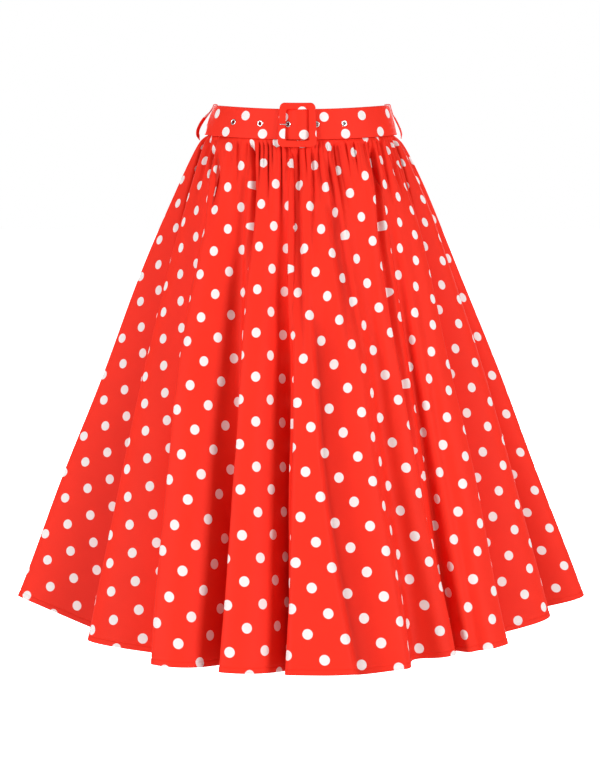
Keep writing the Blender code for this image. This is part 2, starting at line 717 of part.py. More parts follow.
def make_zip_tape():
    """The two tapes and closed teeth, as one strip on the inside of the seam."""
    place = FOLD_INDEX["n_ridge"]
    column = 1.0 / STEPS_PER_FOLD
    lift = -(CLOTH / 2.0 + 2.0 * GAP + ZIP_TAPE_THICKNESS / 2.0)
    sections = []
    for share in ZIP_SHARES:
        outer, inner = [], []
        for side in (-1.0, 1.0):
            speed = (panel_point(place + side * column, share) -
                     panel_point(place, share)).length / column
            reach = max(ZIP_TAPE_HALF_WIDTH / speed, column * 1.05)
            spots = [place + side * reach, place + side * column, place]
            for spot in spots if side < 0.0 else spots[1::-1]:
                _, outward = skirt_side(spot, share)
                middle = panel_point(spot, share) + outward * lift
                outer.append(middle + outward * (ZIP_TAPE_THICKNESS / 2.0))
                inner.append(middle - outward * (ZIP_TAPE_THICKNESS / 2.0))
        sections.append(outer + inner[::-1])
    points, faces = closed_strip(sections)
    return add_object("zip_tape", points, faces, RED_ZIP)


def block(frame, across, low, high, bottom, top):
    """A block on a frame: half width, from low to high along it, from bottom to top out."""
    point, down, side, out = frame
    sections = []
    for along in (low, high):
        sections.append([
            point + down * along + side * s * across + out * height
            for s, height in ((-1, bottom), (1, bottom), (1, top), (-1, top))
        ])
    return closed_strip(sections)


def pull_pivot():
    """The middle of the pull's crossbar, in the arch under the slider's bridge."""
    point, down, side, out = zip_frame(SLIDER_SHARE)
    height = SLIDER_LIFT + SLIDER_SIZE[2] + ARCH_HEIGHT / 2.0
    return point + out * height, down, side, out


def make_zip_slider():
    """The slider's body, with an arched bridge that carries the pull."""
    frame = zip_frame(SLIDER_SHARE)
    point, down, side, out = frame
    top = SLIDER_LIFT + SLIDER_SIZE[2]
    half_wide, half_long = SLIDER_SIZE[0] / 2.0, SLIDER_SIZE[1] / 2.0
    slider = add_object("zip_slider", *block(frame, half_wide, -half_long, half_long,
                                             SLIDER_LIFT, top), RED_ZIP, False)
    # (along the zip, outwards) of the bridge's outside and inside, from foot to foot
    sunk = top - 0.5 * MM
    crown = top + ARCH_HEIGHT
    outside = [(-ARCH_HALF - 1.2 * MM, sunk), (-ARCH_HALF - 0.2 * MM, crown + 0.7 * MM),
               (-ARCH_HALF + 0.9 * MM, crown + BRIDGE_THICKNESS),
               (ARCH_HALF - 0.9 * MM, crown + BRIDGE_THICKNESS),
               (ARCH_HALF + 0.2 * MM, crown + 0.7 * MM), (ARCH_HALF + 1.2 * MM, sunk)]
    inside = [(-ARCH_HALF, sunk), (-ARCH_HALF + 0.2 * MM, crown - 0.4 * MM),
              (-ARCH_HALF + 0.9 * MM, crown), (ARCH_HALF - 0.9 * MM, crown),
              (ARCH_HALF - 0.2 * MM, crown - 0.4 * MM), (ARCH_HALF, sunk)]
    sections = []
    for (out_a, out_h), (in_a, in_h) in zip(outside, inside):
        sections.append([
            point + down * out_a + side * -BRIDGE_HALF + out * out_h,
            point + down * out_a + side * BRIDGE_HALF + out * out_h,
            point + down * in_a + side * BRIDGE_HALF + out * in_h,
            point + down * in_a + side * -BRIDGE_HALF + out * in_h,
        ])
    bridge = add_object("bridge_cutter", *closed_strip(sections), RED_ZIP, False)
    bridge.hide_render = True
    bridge.display_type = "WIRE"
    union = slider.modifiers.new("bridge", "BOOLEAN")
    union.operation = "UNION"
    union.solver = "EXACT"
    union.object = bridge
    return slider


def make_zip_pull():
    """A flat tab that hangs from the bridge and lies down along the zip."""
    pivot, down, side, out = pull_pivot()
    half_wide, long, thick = PULL_SIZE[0] / 2.0, PULL_SIZE[1], PULL_SIZE[2] / 2.0
    head = PULL_CROSSBAR / 2.0
    # (along, across) of the tab's outline: square-shouldered head, narrower round end
    outline = [(-head, -half_wide + head), (-head, half_wide - head), (0.0, half_wide),
               (PULL_EYE_END + 1.0 * MM, half_wide)]
    tail = half_wide * 0.72
    for step in range(9):
        angle = math.radians(90.0 - 180.0 * step / 8.0)
        outline.append((long - tail + math.cos(angle) * tail, math.sin(angle) * tail))
    outline += [(PULL_EYE_END + 1.0 * MM, -half_wide), (0.0, -half_wide)]
    rings = [[down * a + side * s + out * h for a, s in outline] for h in (-thick, thick)]
    pull = add_object("zip_pull", *closed_strip(rings), SILVER)
    pull.location = pivot
    eye = block((Vector((0.0, 0.0, 0.0)), down, side, out), PULL_EYE_HALF, head, PULL_EYE_END,
                -2.0 * thick, 2.0 * thick)
    eye_cutter = add_object("eye_cutter", *eye, SILVER, False)
    eye_cutter.location = pivot
    cut(pull, eye_cutter)
    return pull


def main():
    for old in list(bpy.data.objects):
        bpy.data.objects.remove(old, do_unlink=True)
    for gore in rows_of(GORES, GORE_COLUMNS):
        make_gore(gore["node"], gore["starts_at"], gore["ends_at"])
    make_waistband()
    make_belt()
    for number, turn in enumerate(EYELET_TURNS, start=1):
        make_eyelet(number, turn)
    make_buckle_frame()
    make_prong()
    make_loop("belt_loop_left", LOOP_LEFT_TURN, LOOP_LEFT)
    make_loop("belt_loop_right", LOOP_RIGHT_TURN, LOOP_RIGHT)
    make_zip_tape()
    make_zip_slider()
    make_zip_pull()


main()
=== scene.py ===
"""Visual model and studio scene for the belted circle skirt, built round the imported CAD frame."""

import math

import bmesh
import bpy
import numpy as np
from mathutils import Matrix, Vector


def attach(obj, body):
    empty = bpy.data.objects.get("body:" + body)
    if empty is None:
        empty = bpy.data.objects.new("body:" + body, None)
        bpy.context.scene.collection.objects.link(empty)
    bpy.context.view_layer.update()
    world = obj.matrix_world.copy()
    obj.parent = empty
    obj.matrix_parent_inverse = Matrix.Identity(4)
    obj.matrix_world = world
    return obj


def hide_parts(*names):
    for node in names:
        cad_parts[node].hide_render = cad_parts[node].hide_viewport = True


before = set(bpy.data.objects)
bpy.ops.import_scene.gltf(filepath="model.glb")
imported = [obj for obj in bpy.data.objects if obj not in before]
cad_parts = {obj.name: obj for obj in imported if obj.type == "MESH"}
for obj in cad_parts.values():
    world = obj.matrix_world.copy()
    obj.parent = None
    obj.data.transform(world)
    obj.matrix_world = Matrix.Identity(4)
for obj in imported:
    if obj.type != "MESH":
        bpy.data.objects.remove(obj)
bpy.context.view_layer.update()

MM = 0.001

# --- camera ---
PITCH = 8.255                     # degrees below level
LENS_MM = 90.03
CAMERA_PLACE = (-0.00137, -2.7, 0.021)


def make_camera():
    data = bpy.data.cameras.new("camera")
    data.lens = LENS_MM
    camera = bpy.data.objects.new("camera", data)
    camera.location = CAMERA_PLACE
    camera.rotation_euler = (math.radians(90.0 - PITCH), 0.0, 0.0)
    bpy.context.scene.collection.objects.link(camera)
    bpy.context.scene.camera = camera


make_camera()

# --- sizes shared with the CAD ---
WAIST_TOP = (0.1162, 0.0870)
WAIST_BOTTOM = (0.1255, 0.0920)
BAND_HALF_HEIGHT = 0.0195
BAND_THICKNESS = 0.0024
WAIST_SIDE_RISE = 0.0034
WAIST_FRONT_DIP = 0.0052
SKIRT_TOP_Z = -0.0202
SKIRT_TOP_INSET = 0.0009
HEM_Z = -0.675
FLARE = 0.385
PUFFS = ((0.009, 0.004), (0.010, 0.050))
PUFF_AT_FRONT = 0.4
BELT_HALF_HEIGHT = 0.0200

FOLDS = (
    # name, waist, x, y, lead, follow, bow, lift
    ("a_ridge", -91.0, -0.390, -0.085, 0.06, 0.04, -0.001, 0.031),
    ("a_valley", -88.0, -0.258, -0.150, 0.05, 0.05, 0.0, -0.007),
    ("b_ridge", -85.0, -0.278, -0.206, 0.07, 0.12, -0.006, 0.0),
    ("b_valley", -66.0, -0.160, -0.252, 0.05, 0.06, 0.0, -0.007),
    ("c_ridge", -62.0, -0.185, -0.314, 0.08, 0.20, -0.012, -0.001),
    ("c_valley", -36.0, -0.088, -0.268, 0.03, 0.05, 0.0, -0.012),
    ("d_ridge", -30.0, -0.098, -0.338, 0.06, 0.20, 0.003, -0.004),
    ("d_valley", -10.0, -0.004, -0.272, 0.03, 0.04, 0.0, -0.018),
    ("e_ridge", -6.0, -0.012, -0.346, 0.08, 0.09, 0.003, -0.005),
    ("e_middle", 4.0, 0.055, -0.346, 0.06, 0.06, 0.0, -0.005),
    ("e_edge", 16.0, 0.132, -0.328, 0.10, 0.05, -0.006, -0.002),
    ("e_valley", 25.0, 0.148, -0.270, 0.05, 0.05, 0.0, -0.006),
    ("f_ridge", 41.0, 0.191, -0.268, 0.07, 0.07, -0.008, -0.003),
    ("f_valley", 48.0, 0.197, -0.226, 0.04, 0.05, 0.0, -0.008),
    ("g_middle", 58.0, 0.226, -0.244, 0.07, 0.05, 0.0, -0.003),
    ("g_ridge", 74.0, 0.267, -0.224, 0.13, 0.07, 0.004, 0.0),
    ("g_valley", 77.0, 0.252, -0.138, 0.04, 0.05, 0.0, -0.013),
    ("h_ridge", 83.0, 0.342, -0.084, 0.13, 0.07, 0.012, 0.001),
    ("h_valley", 86.0, 0.320, -0.010, 0.04, 0.05, 0.0, -0.011),
    ("i_ridge", 91.0, 0.405, 0.030, 0.12, 0.10, 0.002, 0.004),
    ("i_valley", 93.5, 0.338, 0.078, 0.05, 0.05, 0.0, -0.010),
    ("j_ridge", 96.0, 0.372, 0.142, 0.09, 0.09, 0.0, 0.0),
    ("j_valley", 99.0, 0.292, 0.165, 0.05, 0.05, 0.0, -0.012),
    ("k_ridge", 104.0, 0.300, 0.236, 0.09, 0.10, 0.0, 0.0),
    ("k_valley", 110.0, 0.215, 0.226, 0.05, 0.05, 0.0, -0.012),
    ("l_ridge", 118.0, 0.205, 0.302, 0.09, 0.11, 0.0, 0.0),
    ("l_valley", 130.0, 0.128, 0.266, 0.05, 0.05, 0.0, -0.013),
    ("m_ridge", 142.0, 0.098, 0.344, 0.09, 0.10, 0.0, 0.0),
    ("m_valley", 156.0, 0.046, 0.284, 0.05, 0.05, 0.0, -0.013),
    ("n_ridge", 180.0, 0.000, 0.350, 0.08, 0.08, 0.0, 0.0),
    ("n_valley", 200.0, -0.060, 0.282, 0.05, 0.05, 0.0, -0.013),
    ("o_ridge", 214.0, -0.112, 0.338, 0.10, 0.09, 0.0, 0.0),
    ("o_valley", 226.0, -0.146, 0.262, 0.05, 0.05, 0.0, -0.013),
    ("p_ridge", 238.0, -0.222, 0.294, 0.10, 0.09, 0.0, 0.0),
    ("p_valley", 248.0, -0.228, 0.214, 0.05, 0.05, 0.0, -0.012),
    ("q_ridge", 256.0, -0.312, 0.222, 0.10, 0.09, 0.0, 0.0),
    ("q_valley", 261.0, -0.298, 0.148, 0.05, 0.05, 0.0, -0.012),
    ("r_ridge", 264.0, -0.376, 0.120, 0.10, 0.09, 0.0, 0.0),
    ("r_valley", 266.5, -0.342, 0.050, 0.05, 0.05, 0.0, -0.008),
)
FOLD_INDEX = {row[0]: place for place, row in enumerate(FOLDS)}
FOLD_COUNT = len(FOLDS)
TABLE = np.array([row[1:] for row in FOLDS])

# Each gore: node, first and last fold edge, tilt of its grain in degrees, and where the print
# falls on it (across, down) in mm.
GORES = (
    ("skirt_front", "b_valley", "f_valley", 1.0, -8.0, -45.0),
    ("skirt_side_right", "f_valley", "k_valley", 2.0, -43.0, 37.0),
    ("skirt_back_right", "k_valley", "n_ridge", 0.0, 9.0, 14.0),
    ("skirt_back_left", "n_ridge", "p_valley", 0.0, -6.0, 3.0),
    ("skirt_side_left", "p_valley", "b_valley", 5.0, -45.0, 5.0),
)
HEM_RADIUS = 1.18                 # of every gore's hem, on the flat cloth
DOT_ALONG = 0.0582                # the print's repeat down the grain
DOT_ACROSS = 0.0480               # and across it
DOT_RADIUS = 0.0066


# --- the skirt's surface ---
def waist_height(turn):
    return WAIST_SIDE_RISE - WAIST_FRONT_DIP * np.cos(turn) ** 2


def waist_point(degrees, height, depth):
    """Points at a turn from the front, a height on the waistband and a depth out of it."""
    turn = np.radians(degrees)
    share = (BELT_HALF_HEIGHT - height) / (2.0 * BELT_HALF_HEIGHT)
    wide, deep = (top + (low - top) * share for top, low in zip(WAIST_TOP, WAIST_BOTTOM))
    out_x, out_y = np.sin(turn) / wide, -np.cos(turn) / deep
    size = np.hypot(out_x, out_y)
    x = wide * np.sin(turn) + out_x / size * depth
    y = -deep * np.cos(turn) + out_y / size * depth
    return np.stack(np.broadcast_arrays(x, y, height + waist_height(turn)), -1)


def knot(place):
    """Fold rows either side of each place, and how far it is between them."""
    first = np.floor(place).astype(int)
    part = place - first
    one = TABLE[first % FOLD_COUNT]
    two = TABLE[(first + 1) % FOLD_COUNT]
    turn_one = one[..., 0] + 360.0 * (first // FOLD_COUNT)
    turn_two = two[..., 0] + 360.0 * ((first + 1) // FOLD_COUNT)
    return one, two, part, turn_one + (turn_two - turn_one) * part


def turn_of(place):
    return knot(place)[3]


def run_out(drop, turn):
    puffs = sum(run * (1.0 - np.exp(-drop / over)) for run, over in PUFFS)
    side = np.sin(np.radians(turn)) ** 2
    return FLARE * drop + puffs * (PUFF_AT_FRONT + (1.0 - PUFF_AT_FRONT) * side)


def base_point(place, share):
    """The middle of the cloth, as in the CAD. place and share are arrays of one shape."""
    one, two, part, turn = knot(place)
    top = waist_point(turn, SKIRT_TOP_Z, -SKIRT_TOP_INSET)
    square, cube = part ** 2, part ** 3
    hem = []
    for axis in (0, 1):
        value = one[..., 1 + axis] * (2 * cube - 3 * square + 1)
        value += two[..., 1 + axis] * (3 * square - 2 * cube)
        for row, reach, weight in ((one, 4, cube - 2 * square + part), (two, 3, cube - square)):
            far = np.hypot(row[..., 1], row[..., 2])
            way = (-row[..., 2] if axis == 0 else row[..., 1]) / far
            value += way * row[..., reach] * weight
        hem.append(value)
    ease = (1 - np.cos(math.pi * part)) / 2
    bow, lift = (one[..., k] + (two[..., k] - one[..., k]) * ease for k in (5, 6))
    mean_drop = SKIRT_TOP_Z - HEM_Z
    out = run_out(share * mean_drop, turn) / run_out(mean_drop, turn)
    x = top[..., 0] + (hem[0] - top[..., 0]) * out + bow * np.sin(math.pi * share)
    y = top[..., 1] + (hem[1] - top[..., 1]) * out
    z = top[..., 2] + (HEM_Z + lift - top[..., 2]) * share
    return np.stack([x, y, z], -1)


def unit(vectors):
    return vectors / np.maximum(np.linalg.norm(vectors, axis=-1, keepdims=True), 1e-9)


def distances(points, axis):
    """Metres from the start of a line of points, or of each row or column of a grid."""
    steps = np.linalg.norm(np.diff(points, axis=axis), axis=-1)
    return np.insert(np.cumsum(steps, axis=axis), 0, 0.0, axis=axis)


def surface_normals(points):
    """Outward normals of a grid of points, rows down and columns to the viewer's right."""
    along = np.gradient(points, axis=1)
    down = np.gradient(points, axis=0)
    return unit(np.cross(down, along))


# --- creases and gathers ---
# Troughs in the cloth, each along a line of (share of the drop, place round the folds), with
# its depth, the half width of its floor and the softness of its two sides in mm, and the
# shares of the drop where it starts and where it has died out.
CREASES = (
    # line, depth, half, left, right, start, end
    (((0.03, 2.90), (0.11, 3.60), (0.16, 3.78), (0.21, 3.74), (0.30, 3.66)),
     8.0, 4.0, 6.0, 2.5, 0.010, 0.38),
    (((0.02, 5.78), (0.10, 6.00), (0.15, 5.97), (0.20, 5.84), (0.28, 5.62)),
     10.0, 3.0, 2.5, 4.0, 0.000, 0.40),
    (((0.02, 8.18), (0.12, 8.12), (0.27, 8.10), (0.41, 8.05)), 5.5, 5.5, 2.2, 2.2, 0.000, 0.50),
    (((0.02, 9.16), (0.12, 9.00), (0.17, 8.93)), 3.5, 1.2, 1.5, 5.0, 0.000, 0.27),
    (((0.01, 9.47), (0.06, 9.40), (0.11, 9.43)), 3.0, 1.2, 2.0, 3.0, 0.000, 0.15),
    (((0.03, 9.84), (0.08, 9.86), (0.13, 9.93)), 4.5, 1.5, 2.0, 5.0, 0.020, 0.20),
    (((0.10, 9.90), (0.17, 9.99), (0.23, 10.04), (0.30, 10.12)), 5.5, 5.0, 8.0, 3.0, 0.090, 0.50),
    (((0.02, 12.98), (0.08, 12.84), (0.15, 12.52), (0.22, 12.36), (0.28, 12.46)),
     7.0, 1.5, 8.0, 2.2, 0.005, 0.42),
    (((0.03, 13.45), (0.06, 13.55), (0.09, 13.65)), 3.0, 1.2, 2.0, 4.0, 0.000, 0.14),
    (((0.03, 14.25), (0.05, 14.38), (0.12, 14.60)), 3.0, 1.2, 3.0, 2.0, 0.000, 0.14),
    (((0.03, 4.10), (0.08, 4.20), (0.14, 4.22)), 3.5, 1.5, 2.0, 4.0, 0.010, 0.21),
    (((0.25, 3.70), (0.60, 3.72), (1.0, 3.70)), 7.0, 4.0, 9.0, 2.0, 0.22, 0.98),
    (((0.25, 5.70), (0.60, 5.72), (1.0, 5.72)), 8.0, 4.0, 9.0, 2.0, 0.22, 1.05),
    (((0.36, 7.80), (0.70, 7.80), (1.0, 7.78)), 7.0, 3.5, 8.0, 2.0, 0.32, 1.05),
    (((0.25, 12.36), (0.60, 12.45), (1.0, 12.50)), 6.0, 2.5, 7.0, 2.5, 0.22, 0.95),
    (((0.30, 8.90), (0.62, 8.95), (0.75, 9.08), (0.90, 9.27), (1.0, 9.38)),
     6.0, 4.0, 7.0, 40.0, 0.25, 2.00),
)
# Plainer ones round the back: place at the top and at 0.3 of the drop, depth, half, left,
# right, end.
BACK_CREASES = (
    (16.0, 16.0, 7.0, 2.5, 5.0, 3.0, 0.38), (18.0, 18.1, 7.0, 2.5, 4.0, 3.0, 0.40),
    (20.1, 20.0, 7.0, 3.0, 4.0, 5.0, 0.36), (22.0, 22.1, 8.0, 3.0, 3.0, 5.0, 0.42),
    (24.2, 24.0, 7.0, 2.5, 5.0, 3.0, 0.33), (26.0, 26.1, 9.0, 3.5, 3.0, 5.0, 0.45),
    (28.1, 28.0, 7.0, 3.0, 5.0, 3.0, 0.37), (30.1, 30.0, 8.0, 3.0, 3.0, 5.0, 0.40),
    (32.0, 32.1, 9.0, 3.5, 5.0, 3.0, 0.45), (34.1, 34.0, 7.0, 2.5, 4.0, 4.0, 0.34),
    (36.0, 36.0, 8.0, 3.0, 3.0, 5.0, 0.40), (38.0, 38.0, 7.0, 3.0, 5.0, 3.0, 0.38),
    (40.0, 40.0, 7.0, 2.5, 5.0, 3.0, 0.38),
)
CREASES += tuple((((0.02, top), (0.30, low)), *sizes, 0.0, end)
                 for top, low, *sizes, end in BACK_CREASES)
# Small gathers that start under the belt: place, depth and half width in mm, and the share of
# the drop where each has died out. The rest, round the sides and back, are spread by a seed.
FRONT_GATHERS = (
    (2.46, 2.4, 2.2, 0.10), (2.95, 2.0, 1.8, 0.07), (3.62, 2.4, 2.0, 0.09),
    (4.53, 1.6, 1.6, 0.05), (4.76, 2.2, 1.8, 0.08), (5.12, 1.4, 1.6, 0.04),
    (5.42, 1.8, 1.6, 0.06), (6.18, 2.0, 1.6, 0.08), (6.31, 1.8, 1.5, 0.06),
    (6.46, 2.6, 1.8, 0.11), (6.59, 1.8, 1.5, 0.06), (6.87, 2.8, 1.8, 0.12),
    (7.22, 1.6, 1.6, 0.05), (7.55, 1.8, 1.6, 0.06), (8.49, 2.2, 1.6, 0.08),
    (8.80, 1.6, 1.5, 0.05), (10.20, 1.8, 1.5, 0.06), (10.46, 3.2, 2.0, 0.13),
    (10.62, 1.8, 1.5, 0.06), (10.78, 2.4, 1.8, 0.10), (11.15, 1.6, 1.5, 0.05),
    (11.50, 1.8, 1.8, 0.06), (11.95, 1.5, 1.6, 0.04), (12.40, 2.0, 1.8, 0.07),
    (13.85, 2.2, 1.6, 0.09), (14.55, 1.8, 1.6, 0.07), (14.80, 2.0, 1.8, 0.08),
)
RING_PLACES = np.linspace(-3.0, FOLD_COUNT + 4.0, (FOLD_COUNT + 7) * 8 + 1)
FRONT_END = 15.0                  # the last place that the front view shows plainly
# least and most depth, half width, end, and degrees from one seeded gather to the next
SEEDED_FRONT = ((0.7, 1.5), (1.1, 1.7), (0.03, 0.09), (1.8, 3.2))
SEEDED_BACK = ((1.3, 3.2), (1.4, 2.2), (0.05, 0.15), (2.2, 4.0))
CREASE_SCALE = 1.5                # of the depths above
GATHER_SCALE = 2.9
GATHER_SPREAD = 9.0               # how much wider a gather is per drop
RIDGE_SLOPE = 0.42                # how fast a ridge's cover fades along the cloth beside it


def step(value):
    """A smooth step from 0 to 1."""
    value = np.clip(value, 0.0, 1.0)
    return value * value * (3.0 - 2.0 * value)


def ring_arcs(shares):
    """Metres along each row from the first ring place, for every ring place."""
    place, share = np.meshgrid(RING_PLACES, shares)
    return distances(base_point(place, share), 1)


def all_gathers():
    """The front's own gathers, and seeded ones all round."""
    rng = np.random.RandomState(11)
    rows = list(FRONT_GATHERS)
    at = 2.2
    while at < FOLD_COUNT + 2.2:
        first = int(at) % FOLD_COUNT
        span = (FOLDS[(first + 1) % FOLD_COUNT][1] - FOLDS[first][1]) % 360.0
        depth, half, end, apart = SEEDED_FRONT if at < FRONT_END else SEEDED_BACK
        rows.append((at, rng.uniform(*depth), rng.uniform(*half), rng.uniform(*end)))
        at += rng.uniform(*apart) / max(span, 2.0)
    return rows


def relief(place, share):
    """How far creases and gathers move the cloth outwards, in metres, on a grid."""
    shares = share[:, 0]
    arcs = ring_arcs(shares)
    here = np.stack([np.interp(row, RING_PLACES, arc) for row, arc in zip(place, arcs)])
    moved = np.zeros_like(place)
    low, high = place.min() - 1.5, place.max() + 1.5

    def away(line_places):
        """Metres from a line, for every point of the grid."""
        there = np.array([np.interp(p, RING_PLACES, arc) for p, arc in zip(line_places, arcs)])
        return here - there[:, None]

    for line, depth, half, left, right, start, end in CREASES:
        knots = np.array(line)
        for turn in (-FOLD_COUNT, 0, FOLD_COUNT):
            if knots[:, 1].max() + turn < low or knots[:, 1].min() + turn > high:
                continue
            apart = away(np.interp(shares, knots[:, 0], knots[:, 1]) + turn) / MM
            wide = 1.0 + 0.8 * shares[:, None] / max(end, 0.1)
            shape = step((apart + (half + left) * wide) / (left * wide))
            shape *= step(((half + right) * wide - apart) / (right * wide))
            fade = step((share - start) / (0.03 + 0.6 * start))
            fade = fade * step((end - share) / (0.65 * (end - start)))
            moved -= CREASE_SCALE * depth * MM * shape * fade
    for at, depth, half, end in all_gathers():
        for turn in (-FOLD_COUNT, 0, FOLD_COUNT):
            if not low < at + turn < high:
                continue
            apart = away(np.full(len(shares), at + turn)) / MM
            wide = 0.85 * half * (1.0 + GATHER_SPREAD * shares[:, None])
            fade = step(share / 0.010) * step((1.8 * end - share) / (1.6 * end))
            moved -= GATHER_SCALE * depth * MM * np.exp(-np.abs(apart / wide) ** 1.3) * fade
    return moved * beside_zip(place, share)


def fold_hollow(place, share):
    """How far each point lies behind the fold ridges beside it, in metres, from which the cloth's
    painted shade is set.
    """
    ring, shares = np.meshgrid(RING_PLACES, share[:, 0])
    points = base_point(ring, shares)
    reach = np.hypot(points[..., 0], points[..., 1])
    painted_shade_depth = []
    for row, arc, far in zip(place, ring_arcs(share[:, 0]), reach):
        ridge = np.max(far[None] - RIDGE_SLOPE * np.abs(arc[None] - arc[:, None]), axis=1)
        painted_shade_depth.append(np.interp(row, RING_PLACES, ridge - far))
    return np.array(painted_shade_depth)


def beside_zip(place, share):
    """0 along the zip, where its tapes hold the cloth flat, and 1 away from it."""
    off = np.abs(turn_of(place) - 180.0) / (9.0 - 6.5 * np.clip(share / 0.3, 0.0, 1.0))
    return 1.0 - (1.0 - step(off - 0.6)) * step((0.36 - share) / 0.07)


def slow_waves(turn, share):
    """Shallow unevenness over the whole skirt, so that no panel is a perfect cone."""
    angle = np.radians(turn)
    waves = 1.1 * np.sin(9 * angle + 7.0 * share + 0.7) * np.sin(2.2 * math.pi * share + 0.4)
    waves += 0.9 * np.sin(17 * angle - 5.0 * share + 2.1) * np.sin(3.1 * math.pi * share + 1.3)
    waves += 0.6 * np.sin(31 * angle + 11.0 * share + 4.0) * np.sin(1.3 * math.pi * share)
    return waves * MM * step(share / 0.15)


def hem_relief(share):
    """A narrow turned hem: a shallow groove at its stitching and a slightly fuller edge."""
    up = (1.0 - share) * (SKIRT_TOP_Z - HEM_Z) / MM
    return MM * (0.35 * step((7.5 - up) / 1.5) - 0.55 * np.exp(-((up - 7.0) / 0.9) ** 2))


# --- meshes ---
def add_mesh(name, points, faces, uv=None, materials=(), smooth=True, inside=None):
    mesh = bpy.data.meshes.new(name)
    faces = faces if isinstance(faces, list) else faces.tolist()
    mesh.from_pydata(np.asarray(points).tolist(), [], faces)
    if uv is not None:
        layer = mesh.uv_layers.new(name="flat")
        loops = np.empty(len(mesh.loops), dtype=np.int32)
        mesh.loops.foreach_get("vertex_index", loops)
        layer.uv.foreach_set("vector", np.asarray(uv)[loops].astype(np.float32).ravel())
    for look in materials:
        mesh.materials.append(look)
    if inside is not None:
        mesh.polygons.foreach_set("material_index", inside)
    if smooth:
        mesh.shade_smooth()
    made = bpy.data.objects.new(name, mesh)
    bpy.context.scene.collection.objects.link(made)
    return made


def ride_for(piece, node, body="skirt"):
    """The piece stands for a CAD node and moves with its body."""
    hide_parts(node)
    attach(piece, body)


def shell(name, outer, inner, uv, materials):
    """A closed thin shell from two grids of points, outside and inside."""
    rows, columns = outer.shape[:2]
    points = np.concatenate([outer.reshape(-1, 3), inner.reshape(-1, 3)])
    index = np.arange(rows * columns).reshape(rows, columns)
    a, b = index[:-1, :-1].ravel(), index[:-1, 1:].ravel()
    c, d = index[1:, 1:].ravel(), index[1:, :-1].ravel()
    back = rows * columns
    front = np.stack([a, d, c, b], 1)
    behind = np.stack([a, b, c, d], 1) + back
    edges = []
    for line, flip in ((index[0], 0), (index[-1], 1), (index[:, 0], 1), (index[:, -1], 0)):
        p, q = line[:-1], line[1:]
        edge = np.stack([p, q, q + back, p + back], 1)
        edges.append(edge[:, ::-1] if flip else edge)
    faces = np.concatenate([front, behind] + edges)
    slots = np.zeros(len(faces), dtype=np.int32)
    slots[len(front):len(front) + len(behind)] = 1
    both = np.concatenate([uv.reshape(-1, 2)] * 2)
    return add_mesh(name, points, faces, both, materials, True, slots)


# --- materials ---
class Nodes:
    """Short calls that add and link shader nodes."""

    def __init__(self, name):
        self.material = bpy.data.materials.new(name)
        self.material.use_nodes = True
        self.tree = self.material.node_tree
        self.shader = self.tree.nodes["Principled BSDF"]

    def add(self, kind, **settings):
        node = self.tree.nodes.new(kind)
        for key, value in settings.items():
            setattr(node, key, value)
        return node

    def fix(self, **values):
        """Set values that are the same all over on the shader's own sockets."""
        for key, value in values.items():
            self.shader.inputs[key.replace("_", " ")].default_value = value

    def put(self, socket, value):
        if isinstance(value, bpy.types.NodeSocket):
            self.tree.links.new(value, socket)
        else:
            socket.default_value = value

    def math(self, operation, one, two=0.0, three=0.0):
        node = self.add("ShaderNodeMath", operation=operation)
        for socket, value in zip(node.inputs, (one, two, three)):
            self.put(socket, value)
        return node.outputs[0]

    def mix(self, share, one, two):
        node = self.add("ShaderNodeMix", data_type="RGBA")
        self.put(node.inputs["Factor"], share)
        self.put(node.inputs["A"], one)
        self.put(node.inputs["B"], two)
        return node.outputs["Result"]

    def ramp(self, value, low, high, to_low=0.0, to_high=1.0):
        node = self.add("ShaderNodeMapRange", interpolation_type="SMOOTHSTEP")
        for socket, given in zip(node.inputs, (value, low, high, to_low, to_high)):
            self.put(socket, given)
        return node.outputs[0]

    def noise(self, vector, scale, detail=2.0):
        node = self.add("ShaderNodeTexNoise")
        self.put(node.inputs["Vector"], vector)
        node.inputs["Scale"].default_value = scale
        node.inputs["Detail"].default_value = detail
        return node.outputs["Fac"]

    def wave(self, value, pitch):
        return self.math("SINE", self.math("MULTIPLY", value, 2 * math.pi / pitch))

    def uv(self):
        """The flat cloth's place, as a vector and as its two parts, in metres."""
        node = self.add("ShaderNodeUVMap", uv_map="flat")
        split = self.add("ShaderNodeSeparateXYZ")
        self.tree.links.new(node.outputs[0], split.inputs[0])
        return node.outputs[0], split.outputs[0], split.outputs[1]

    def bump(self, height, strength, distance):
        node = self.add("ShaderNodeBump")
        node.inputs["Strength"].default_value = strength
        node.inputs["Distance"].default_value = distance
        self.put(node.inputs["Height"], height)
        self.put(self.shader.inputs["Normal"], node.outputs[0])


# Painted shade: the darker red and white that the cloth's colour is mixed to where it lies deep in
# folds and creases.
PAINTED_SHADE_RED = (0.46, 0.008, 0.004, 1.0)
PAINTED_SHADE_WHITE = (0.70, 0.50, 0.49, 1.0)
WEAVE_PITCH = 0.0007
DOT_EDGE = 0.3 * MM               # half the softness of a spot's edge


def dots(nodes, u, v):
    """1 inside a spot, 0 outside, on a brick repeat in metres."""
    nearest = None
    for shift in (0.0, 0.5):
        squares = []
        for value, pitch in ((u, DOT_ACROSS), (v, DOT_ALONG)):
            off = nodes.math("MULTIPLY_ADD", value, 1.0 / pitch, shift)
            off = nodes.math("SUBTRACT", nodes.math("FRACT", off), 0.5)
            off = nodes.math("MULTIPLY", off, pitch)
            squares.append(nodes.math("MULTIPLY", off, off))
        far = nodes.math("SQRT", nodes.math("ADD", *squares))
        nearest = far if nearest is None else nodes.math("MINIMUM", nearest, far)
    return nodes.ramp(nearest, DOT_RADIUS - DOT_EDGE, DOT_RADIUS + DOT_EDGE, 1.0, 0.0)


